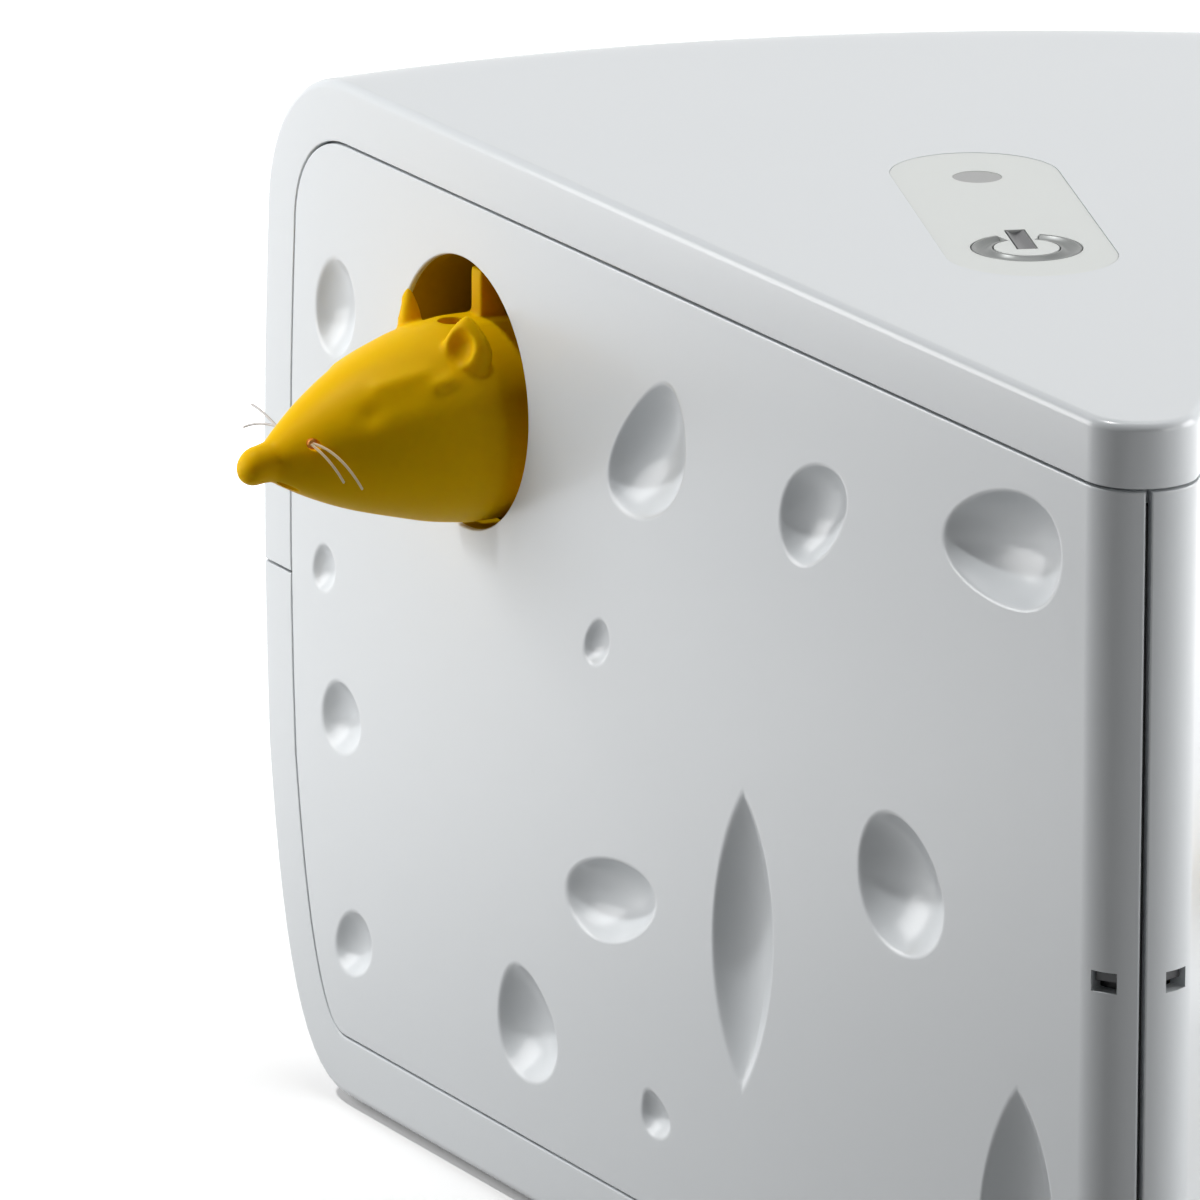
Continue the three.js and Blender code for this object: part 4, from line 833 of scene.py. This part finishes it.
def makeMaterial(name, colour, roughness, bump=0.05, metallic=0.0, coat=0.0, subsurface=0.0,
                 specular=0.5, grain=1200, dust=0.05, spread=(0.004, 0.004, 0.004)):
    material = bpy.data.materials.new(name)
    material.use_nodes = True
    tree = material.node_tree
    surface = addNode(tree, "Group", {
        "Colour": (*colour, 1), "Roughness": roughness, "Grain size": grain, "Dust": dust,
    }, node_tree=mouldedGroup)
    height = addNode(tree, "Bump", {"Strength": bump, "Distance": 0.0003, "Height": surface.outputs["Height"]})
    looks = {
        "Base Color": surface.outputs["Colour"], "Roughness": surface.outputs["Roughness"],
        "Normal": height.outputs["Normal"], "Metallic": metallic, "Specular IOR Level": specular,
    }
    if coat:
        looks.update({"Coat Weight": coat, "Coat Roughness": 0.08})
    if subsurface:
        looks.update({"Subsurface Weight": subsurface, "Subsurface Radius": spread, "Subsurface Scale": 0.5})
    feed(tree, tree.nodes["Principled BSDF"], looks)
    return material


materials = {name: makeMaterial(name, **finish) for name, finish in finishes.items()}
slotOf = {part["node"]: part["material_slot"] for part in frame["record"]["subparts"]}
for nodeName, nodeObject in frame["nodes"].items():
    nodeObject.data.materials.clear()
    nodeObject.data.materials.append(materials[slotOf[nodeName]])
print("materials made")

key = {
    "top": wedge["height"] - 0.04,
    "flange": 1.6,
    "flangeThickness": 1.4,
    "flangeLap": 0.01,
    "edge": 0.1,
    "edgeSteps": 3,
    "cutPast": 1.0,
    "sides": 72,
    "symbolAt": 107.0,
    "symbolRadius": 7.4,
    "symbolDepth": 2.6,
    "symbolSides": 96,
    "grooveDepth": 2.9,
    "grooveGap": 0.2,
    "stroke": 2.8,
    "lip": 0.3,
    "chamfer": 0.08,
    "channel": 0.55,
    "channelSteps": 6,
    # half the opening of the ring, and how much wider its groove runs, in degrees
    "mouth": 24,
    "mouthGap": 1,
    "barHalf": 1.25,
    "barFront": 106.4,
    "barBack": 116.6,
    "barLip": 0.2,
    "barChamfer": 0.05,
    "barChannel": 0.44,
    "baseRadius": 9.0,
    "baseThickness": 0.8,
    "baseLap": 0.02,
    "baseSides": 64,
    "lampAt": 146.5,
    "lampRadius": 3.35,
    "lampGap": 0.03,
    "lensSink": 0.04,
    "lensEdge": 0.05,
}
keyUnder = wedge["height"] - wedge["coverWall"] - wedge["gap"] - key["flangeThickness"]


def symbolRing(profile, mouth, steps):
    # an open ring: a closed cross-section of (radius offset, height offset) spun round the symbol's middle
    bm = bmesh.new()
    face = bm.faces.new([bm.verts.new((key["symbolRadius"] + r, 0, key["top"] + z)) for r, z in profile])
    rotate(bm, 90 + mouth, "Z")
    bmesh.ops.spin(
        bm, geom=[face], axis=(0, 0, 1), cent=(0, 0, 0), dvec=(0, 0, 0),
        angle=radians(360 - 2 * mouth), steps=steps, use_merge=False, use_duplicate=False,
    )
    faceOut(bm)
    return shift(bm, (0, key["symbolAt"], 0))


def makeKey():
    top, past = key["top"], key["cutPast"]
    bm = keyOutline(0, keyUnder, top)
    rim = [e for e in bm.edges if all(abs(v.co.z - top) < weld for v in e.verts)]
    bevelEdges(bm, rim, key["edge"], key["edgeSteps"])
    plate = newObject("key", bm)
    flange = keyOutline(key["flange"], keyUnder - key["flangeLap"], keyUnder + key["flangeThickness"])
    carve(plate, [flange], "UNION")
    gap, floor = key["grooveGap"], -key["grooveDepth"]
    inside = -key["stroke"] - gap
    section = [(inside, floor), (gap, floor), (gap, past), (inside, past)]
    ring = symbolRing(section, key["mouth"] - key["mouthGap"], key["sides"])
    half = key["barHalf"] + gap
    bar = block((-half, key["barFront"] - gap, top + floor), (half, key["barBack"] + gap, top + past))
    lamp = rod(keyUnder - past, top + past, key["lampRadius"] + key["lampGap"], 0, key["lampAt"], key["sides"])
    return carve(plate, [ring, bar, lamp])


def makeSymbol():
    top, deep, edge = key["top"], key["symbolDepth"], key["chamfer"]
    stroke, lip, sink = key["stroke"], key["lip"], key["channel"]
    # the tops of the ring and the bar are shallow channels between two thin lips
    shares = [i / key["channelSteps"] for i in range(1, key["channelSteps"])]
    section = [(-stroke, -deep), (0, -deep), (0, -edge), (-edge, 0), (-lip, 0)]
    section += [(-lip - (stroke - 2 * lip) * share, -sink * sin(pi * share)) for share in shares]
    section += [(-stroke + lip, 0), (-stroke + edge, 0), (-stroke, -edge)]
    symbol = symbolRing(section, key["mouth"], key["symbolSides"])
    half, lip, sink, side = key["barHalf"], key["barLip"], key["barChannel"], key["barChamfer"]
    line = [(-half, -deep), (half, -deep), (half, -side), (half - edge, 0)]
    line += [(half - lip - 2 * (half - lip) * share, -sink * sin(pi * share)) for share in shares]
    line += [(-half + edge, 0), (-half, -side)]
    bar = prism([(x, key["barFront"], top + z) for x, z in line], (0, key["barBack"] - key["barFront"], 0))
    for face in bar.faces:
        face.material_index = 1
    joinInto(symbol, bar)
    floor = top - deep
    low, high = floor - key["baseThickness"], floor + key["baseLap"]
    joinInto(symbol, rod(low, high, key["baseRadius"], 0, key["symbolAt"], key["baseSides"]))
    return newObject("symbol", symbol)


def makeLampWindow():
    radius, sink = key["lampRadius"], key["lensSink"]
    top = key["top"] - sink
    lens = spun([
        (keyUnder, 0), (keyUnder, radius), (top - sink, radius), (top, radius - key["lensEdge"]),
        (top, radius / 2), (top, 0),
    ], key["sides"], "z")
    return newObject("lamp window", shift(lens, (0, key["lampAt"], 0)))


mouse = {
    "outline": ((14.45, 1.1), (13.6, 7.0), (11.95, 12.8), (9.75, 18.6), (7.1, 23.7), (4.6, 27.6), (2.85, 30.0)),
    "outlineSteps": 5,
    "sides": 72,
    "noseAt": 32.1,
    "noseRadius": 2.7,
    "noseTurns": range(-8, 89, 12),
    "back": -7.0,
    "drop": 3.7,
    "droop": 2.1,
    "droopFrom": 9.0,
    "droopOver": 19.0,
    "droopPower": 1.5,
    "ledge": 10.4,
    "ledgeFront": 5.0,
    "cutBack": -9.0,
    "cutHalf": 16.0,
    "cutTop": 30.0,
    "finThickness": 3.0,
    "finSink": 3.0,
    "finFront": -2.9,
    "finTop": 17.0,
    "boreLow": (-9.0, -5.3, -10.8),
    "boreHigh": (4.3, 5.3, 4.3),
    "screwDepth": 3.6,
    "screwTop": 20.0,
    "screwRadius": 2.0,
    "screwAt": 1.6,
    "voxel": 0.34,
    "smoothings": 3,
    "earPlace": (3.8, 8.7, 8.4),
    "earSize": (1.9, 3.9, 5.0),
    "earTurn": 32,
    "earPoint": 0.5,
    "cupSize": (2.2, 2.4, 3.2),
    "cupPoint": 0.3,
    "cupAhead": 2.3,
    "cupAside": 0.3,
    "cupLift": 1.2,
    "hole": (25.8, -3.1),
    "holeRadius": 0.85,
    "pipeHalf": 20.0,
    "pipeSides": 24,
    "slit": (28.1, 1.9, -9.65),
    "slitSize": (1.7, 0.6, 2.2),
    "slitTurn": 30,
    # soft bumps and hollows: two ends of a line on the near side, how wide, how high
    "bumps": (
        ((10.2, 8.4, 6.0), (16.3, 6.6, 4.3), 1.6, 0.3),
        ((13.0, 9.8, 2.8), (17.0, 8.3, 1.6), 1.6, -0.1),
        ((18.6, 8.1, 0.8), (18.6, 8.1, 0.8), 2.0, -0.4),
        ((7.4, 10.6, 5.2), (9.2, 10.4, 4.6), 1.5, 0.5),
    ),
    "bumpFall": 1.4,
    "bumpLeast": 1e-3,
}


def droopAt(u):
    share = max(0, u - mouse["droopFrom"]) / mouse["droopOver"]
    return -mouse["drop"] - mouse["droop"] * share ** mouse["droopPower"]


def smoothLine(points, steps):
    # points joined by a smooth curve through all of them
    line = [points[0]]
    for i in range(len(points) - 1):
        a, b = points[max(i - 1, 0)], points[i]
        c, d = points[i + 1], points[min(i + 2, len(points) - 1)]
        for j in range(1, steps + 1):
            t = j / steps
            line.append(tuple(
                (2 * q + (r - p) * t + (2 * p - 5 * q + 4 * r - s) * t * t + (3 * (q - r) + s - p) * t ** 3) / 2
                for p, q, r, s in zip(a, b, c, d)
            ))
    return line


def sideMatrix(side):
    # the mouse's own frame: outwards, across, up, at the middle of its hole
    middle = onSide(holes[side]["along"], holes[side]["height"], 0)
    turn = pi + wedge["halfAngle"]
    if side == "right":
        middle.x *= -1
        turn = -wedge["halfAngle"]
    return Matrix.Translation(middle) @ Matrix.Rotation(turn, 4, "Z")


def ball(size, place, turn=0.0, axis="Z", point=0.0):
    # an ellipsoid, drawn in towards its top where it has a point
    bm = bmesh.new()
    bmesh.ops.create_uvsphere(bm, u_segments=40, v_segments=24, radius=1)
    for v in bm.verts:
        keep = 1 - point * max(0, v.co.z) ** 1.3
        v.co.x *= keep
        v.co.y *= keep
    bmesh.ops.scale(bm, verts=bm.verts, vec=size)
    return shift(rotate(bm, turn, axis), place)


def earCup(side):
    at, turn = Vector(mouse["earPlace"]), radians(mouse["earTurn"])
    ahead = Vector((cos(turn), side * sin(turn), 0)) * mouse["cupAhead"]
    aside = Vector((-side * sin(turn), cos(turn), 0)) * -side * mouse["cupAside"]
    place = Vector((at.x, side * at.y, at.z + mouse["cupLift"])) + ahead + aside
    return ball(mouse["cupSize"], place, side * mouse["earTurn"], point=mouse["cupPoint"])


def crossPipe(half, radius):
    # a round bar across the snout, where the whiskers go through it
    at, rise = mouse["hole"]
    bm = rotate(cylinder(-half, half, radius, mouse["pipeSides"]), 90, "Z")
    return shift(bm, (at, 0, rise))


def sculpt(bm):
    # pushes the surface in or out along soft lines, the same on both cheeks
    bm.normal_update()
    moves = []
    for v in bm.verts:
        here = Vector((v.co.x, abs(v.co.y), v.co.z))
        push = 0
        for a, b, wide, high in mouse["bumps"]:
            start, end = Vector(a), Vector(b)
            line = end - start
            share = max(0, min(1, (here - start).dot(line) / line.length_squared)) if line.length > 0 else 0
            away = (here - start - line * share).length / wide
            push += high * exp(-away * away * mouse["bumpFall"])
        if abs(push) > mouse["bumpLeast"]:
            moves.append((v, v.normal * push))
    for v, move in moves:
        v.co += move


def makeHead():
    radius, at, back, ledge = mouse["noseRadius"], mouse["noseAt"], mouse["back"], mouse["ledge"]
    body = [(u, r) for r, u in smoothLine(mouse["outline"], mouse["outlineSteps"])]
    turns = [radians(turn) for turn in mouse["noseTurns"]]
    nose = [(at + radius * sin(turn), radius * cos(turn)) for turn in turns]
    bm = spun([(back, 0), (back, body[0][1]), *body, *nose, (at + radius, 0)], mouse["sides"])
    for v in bm.verts:
        v.co.z += droopAt(v.co.x)
    head = newObject("head", bm)
    low = (mouse["cutBack"], -mouse["cutHalf"], ledge)
    high = (mouse["ledgeFront"], mouse["cutHalf"], mouse["cutTop"])
    carve(head, [block(low, high)])
    x, y, z = mouse["earPlace"]
    ears = [
        ball(mouse["earSize"], (x, side * y, z), side * mouse["earTurn"], point=mouse["earPoint"])
        for side in (-1, 1)
    ]
    low = (back, -mouse["finThickness"], ledge - mouse["finSink"])
    fin = block(low, (mouse["finFront"], 0, mouse["finTop"]))
    carve(head, [fin, *ears], "UNION")
    carve(head, [earCup(side) for side in (-1, 1)])
    remesh = head.modifiers.new("skin", "REMESH")
    remesh.mode = "VOXEL"
    remesh.voxel_size = mouse["voxel"]
    bake(head)
    bm = meshOf(head)
    for _ in range(mouse["smoothings"]):
        bmesh.ops.smooth_vert(bm, verts=bm.verts, factor=0.5, use_axis_x=True, use_axis_y=True, use_axis_z=True)
    faceOut(bm)
    sculpt(bm)
    writeBack(head, bm)
    x, y, z = mouse["slit"]
    return carve(head, [
        block(mouse["boreLow"], mouse["boreHigh"]),
        rod(ledge - mouse["screwDepth"], mouse["screwTop"], mouse["screwRadius"], mouse["screwAt"], 0),
        crossPipe(mouse["pipeHalf"], mouse["holeRadius"]),
        *[ball(mouse["slitSize"], (x, side * y, z), side * mouse["slitTurn"], "X") for side in (-1, 1)],
    ])


tunnel = {
    "inner": 19.6,
    "outer": 21.4,
    "length": 28.0,
    "flange": 25.0,
    "flangeThickness": 2.0,
    "taper": 1.0,
    "lead": 0.02,
    "slotHalf": 3.9,
    "slotLow": -26.0,
    "slotHigh": -17.4,
    "slotPast": 1.0,
    "slotFrom": 4.0,
}


def makeTunnel():
    inner, outer, flange = tunnel["inner"], tunnel["outer"], tunnel["flange"]
    front = -wedge["panelWall"] - wedge["gap"]
    back, step = front - tunnel["length"], front - tunnel["flangeThickness"]
    # a thin spigot carries the yellow forward through the panel's hole
    tip, bore = -panels["spigotDepth"] - tunnel["lead"], holes["left"]["radius"]
    spigot = bore + panels["spigotWall"]
    bm = spun([
        (tip, bore), (tip, spigot), (front, spigot), (front, flange), (step, flange), (step, outer),
        (back, outer), (back, inner), (front - tunnel["taper"], inner), (front, bore), (tip, bore),
    ], panels["boreSides"])
    low = (back - tunnel["slotPast"], -tunnel["slotHalf"], tunnel["slotLow"])
    high = (front - tunnel["slotFrom"], tunnel["slotHalf"], tunnel["slotHigh"])
    return carve(newObject("tunnel", bm), [block(low, high)])


whiskers = {
    "root": 0.72,
    "rootHalf": 4.95,
    "radius": 0.19,
    "sides": 8,
    "steps": 18,
    # how far the strands start inside the root's end, and apart from each other back and up
    "sink": 0.1,
    "apart": (0.25, 0.1),
    "splay": 0.8,
    # how far back, how far out and how far up each strand ends, and how much it bows up on the way
    "near": ((2.7, 8.9, -4.8, 0.9), (4.7, 10.5, -5.6, 2.4)),
    "far": ((-0.7, 12.0, 1.8, 0.7), (-1.5, 12.8, -1.5, 0.8)),
}


def makeStrand(a, b, c, paint):
    # a round strand from a to c that bends towards b
    strand = bmesh.new()
    bmesh.ops.create_circle(
        strand, cap_ends=False, radius=whiskers["radius"], segments=whiskers["sides"],
        matrix=Matrix.Translation(a) @ Matrix.Rotation(pi / 2, 4, "X"),
    )
    last, rim = a, strand.edges[:]
    for i in range(1, whiskers["steps"] + 1):
        t = i / whiskers["steps"]
        place = a * (1 - t) ** 2 + b * 2 * t * (1 - t) + c * t * t
        pushed = bmesh.ops.extrude_edge_only(strand, edges=rim)["geom"]
        bmesh.ops.translate(strand, verts=only(bmesh.types.BMVert, pushed), vec=place - last)
        rim = only(bmesh.types.BMEdge, pushed)
        last = place
    bmesh.ops.holes_fill(strand, edges=strand.edges, sides=0)
    faceOut(strand)
    for face in strand.faces:
        face.material_index = paint
    return strand


def makeWhiskers():
    at, rise = mouse["hole"]
    half, (apart, above) = whiskers["rootHalf"], whiskers["apart"]
    whole = crossPipe(half, whiskers["root"])
    # the root is painted orange-brown as painted shade of the whisker hole
    for face in whole.faces:
        face.material_index = 1
    # the far strands take the grey third finish, which is painted shade
    for side, strands, paint in ((-1, whiskers["far"], 2), (1, whiskers["near"], 0)):
        for number, (back, out, lift, bow) in enumerate(strands):
            a = Vector((at + apart - apart * number, side * (half - whiskers["sink"]), rise + above * number))
            c = Vector((at - back, side * out, rise + lift))
            b = (a + c) / 2 + Vector((0, side * whiskers["splay"], bow))
            joinInto(whole, makeStrand(a, b, c, paint))
    return newObject("whiskers", whole)


def refinedCopy(name, radius):
    # a CAD node's own shape with its edges rounded as a moulded piece has them
    piece = copyOfNode(name)
    bm = meshOf(piece)
    flatten(bm, rims["nodeFlat"])
    picked = [e for e in bm.edges if len(e.link_faces) == 2 and e.calc_face_angle(0) > rims["sharp"]]
    bevelEdges(bm, picked, radius, rims["steps"], clamp=True)
    writeBack(piece, bm)
    return piece


foot = {
    "radius": 6.0,
    "thickness": 2.5,
    "edge": 0.1,
    "sides": 56,
    # a ring-shaped groove in the sole, as height and radius, then the round rim, as height and step inwards
    "sole": ((0, 0), (0, 0.8), (0.25, 1.3), (0.25, 3.2), (0, 3.7)),
    "rim": ((0, 0.5), (0.15, 0.15), (0.5, 0)),
}


def makeFoot(name):
    low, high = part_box(name)
    middle = toFrame.inverted() @ Vector(((low[0] + high[0]) / 2, (low[1] + high[1]) / 2, 0))
    radius, thick, edge = foot["radius"], foot["thickness"], foot["edge"]
    line = [*foot["sole"], *[(z, radius - inwards) for z, inwards in foot["rim"]]]
    line += [(thick - edge, radius), (thick, radius - edge), (thick, 0)]
    return newObject(name, shift(spun(line, foot["sides"], "z"), (middle.x, middle.y, 0)))


for coverName, cover in makeCovers().items():
    finishPiece(cover, coverName + "_shell", "white_shell", "housing", coverName)
print("covers made")
for side in ("left", "right"):
    skin, panelName = makePanel(side), side + "_panel"
    finishPiece(skin, panelName + "_skin", "white_shell", "housing", panelName, sharp=28)
print("panels made")
symbolFinishes = ["grey_inlay", "dark_inlay"]
finishPiece(makeKey(), "key_plate", "milky_key", "power_key", "power_key")
finishPiece(makeSymbol(), "key_symbol", symbolFinishes, "power_key", "power_symbol")
finishPiece(makeLampWindow(), "key_lamp_window", "lamp_grey", "power_key", "lamp_window")
print("key made")
# the root's orange-brown and the far strands' grey are painted shade
whiskerFinishes = ["nylon", "whisker_hole_painted_shade", "nylon_far_painted_shade"]
for side in ("left", "right"):
    place, body, tunnelName = sideMatrix(side), side + "_mouse", side + "_tunnel"
    finishPiece(makeHead(), side + "_head_skin", "yellow_plastic", body, body + "_head",
                place, sharp=50, weighted=False)
    finishPiece(makeWhiskers(), side + "_whisker_strands", whiskerFinishes, body, body + "_whiskers",
                place)
    # the liner's darker yellow is painted shade
    finishPiece(makeTunnel(), tunnelName + "_liner", "tunnel_yellow", "housing", tunnelName,
                place)
print("mice made")
for footName in ("foot_front", "foot_left", "foot_right"):
    finishPiece(makeFoot(footName), footName + "_pad", "grey_rubber", "housing", footName)
door, post = refinedCopy("battery_door", 0.3), refinedCopy("apex_post", 0.2)
finishPiece(door, "battery_door_plate", "white_shell", "battery_door", "battery_door")
finishPiece(post, "apex_post_column", "black_plastic", "housing", "apex_post")
print("underside and post made")

view = {
    "lens": 442.7,
    "place": Vector((-331.5, -1777.8, 634.7)),
    "yaw": radians(8.272),
    "pitch": radians(15.594),
    "roll": radians(-0.193),
    "sensor": 36,
    "farthest": 20,
}


def makeCamera():
    data = bpy.data.cameras.new("camera")
    data.lens = view["lens"]
    data.sensor_width = view["sensor"]
    data.clip_end = view["farthest"]
    camera = linked("camera", data)
    yaw, pitch, roll = view["yaw"], view["pitch"], view["roll"]
    ahead = Vector((sin(yaw) * cos(pitch), cos(yaw) * cos(pitch), -sin(pitch)))
    right = Vector((cos(yaw), -sin(yaw), 0))
    down = ahead.cross(right)
    across = right * cos(roll) + down * sin(roll)
    below = down * cos(roll) - right * sin(roll)
    turn = Matrix((across, -below, -ahead)).transposed().to_4x4()
    camera.matrix_world = Matrix.Translation(toFrame @ view["place"]) @ turn
    bpy.context.scene.camera = camera


def areaLight(name, place, target, size, power):
    data = bpy.data.lights.new(name, "AREA")
    data.shape = "RECTANGLE"
    data.size = data.size_y = size
    data.energy = power
    lamp = linked(name, data)
    lamp.location = place
    lamp.rotation_euler = (Vector(target) - Vector(place)).to_track_quat("-Z", "Y").to_euler()


stage = {
    "floorSeen": 0.95,
    "floorGlow": 0.08,
    "fadeFrom": 0.16,
    "fadeTo": 0.4,
    "floorBounce": 0.23,
    "skyDim": 0.045,
    "sunStrength": 1.55,
    "sunSize": 4,
    "sunFrom": Vector((-0.414, 0.274, 0.870)),
    "floorHalf": 8,
    # name, place, aim, size and power of each soft light
    "areaLights": (
        ("right wall", (1.2, 0.1, 0.35), (0, 0, 0.07), 0.8, 11.8),
        ("front right", (0.9, -0.8, 0.35), (0, 0, 0.07), 0.5, 2.7),
        ("overhead", (0.1, 0.25, 1.2), (0, 0, 0.1), 0.6, 2.2),
        ("left back", (-0.32, 0.12, 0.16), (-0.07, 0.06, 0.09), 0.2, 0.55),
    ),
}


def seenDirectly(tree):
    # one for what the camera, a reflection or glass shows
    path = addNode(tree, "LightPath").outputs
    first = calculate(tree, "MAXIMUM", path["Is Camera Ray"], path["Is Glossy Ray"])
    return calculate(tree, "MAXIMUM", first, path["Is Transmission Ray"])


def makeStage():
    bm = bmesh.new()
    bmesh.ops.create_grid(bm, x_segments=1, y_segments=1, size=stage["floorHalf"])
    floor = newObject("floor", bm)
    material = bpy.data.materials.new("floor white")
    material.use_nodes = True
    tree = material.node_tree
    direct = seenDirectly(tree)
    bounce, seen = stage["floorBounce"], stage["floorSeen"]
    tone = addNode(tree, "Mix", {
        "Factor": direct, "A": (bounce, bounce, bounce, 1), "B": (seen, seen, seen, 1),
    }, data_type="RGBA")
    place = addNode(tree, "TexCoord").outputs["Object"]
    away = addNode(tree, "VectorMath", {0: place}, operation="LENGTH").outputs["Value"]
    fade = addNode(tree, "MapRange", {
        "Value": away, "From Min": stage["fadeFrom"], "From Max": stage["fadeTo"],
        "To Min": stage["floorGlow"], "To Max": 1,
    }).outputs["Result"]
    feed(tree, tree.nodes["Principled BSDF"], {
        "Base Color": tone.outputs["Result"], "Roughness": 0.95, "Specular IOR Level": 0,
        "Emission Color": (1, 1, 1, 1), "Emission Strength": calculate(tree, "MULTIPLY", direct, fade),
    })
    floor.data.materials.append(material)

    world = bpy.data.worlds.new("studio")
    bpy.context.scene.world = world
    world.use_nodes = True
    tree = world.node_tree
    strength = addNode(tree, "MapRange", {"Value": seenDirectly(tree), "To Min": stage["skyDim"], "To Max": 1})
    feed(tree, tree.nodes["Background"], {"Color": (1, 1, 1, 1), "Strength": strength.outputs["Result"]})


def makeLights():
    sun = bpy.data.lights.new("key sun", "SUN")
    sun.energy = stage["sunStrength"]
    sun.angle = radians(stage["sunSize"])
    lamp = linked("key sun", sun)
    lamp.rotation_euler = (-stage["sunFrom"]).to_track_quat("-Z", "Y").to_euler()
    # the mice throw no hard shadow on the panels
    blockers = bpy.data.collections.new("no hard shadow")
    for piece in bpy.data.objects:
        if "head_skin" in piece.name or "whisker_strands" in piece.name:
            blockers.objects.link(piece)
    lamp.light_linking.blocker_collection = blockers
    for entry in blockers.collection_objects:
        entry.light_linking.link_state = "EXCLUDE"
    for row in stage["areaLights"]:
        areaLight(*row)


makeCamera()
makeStage()
makeLights()
bpy.context.scene.view_settings.view_transform = "Standard"
print("stage made")
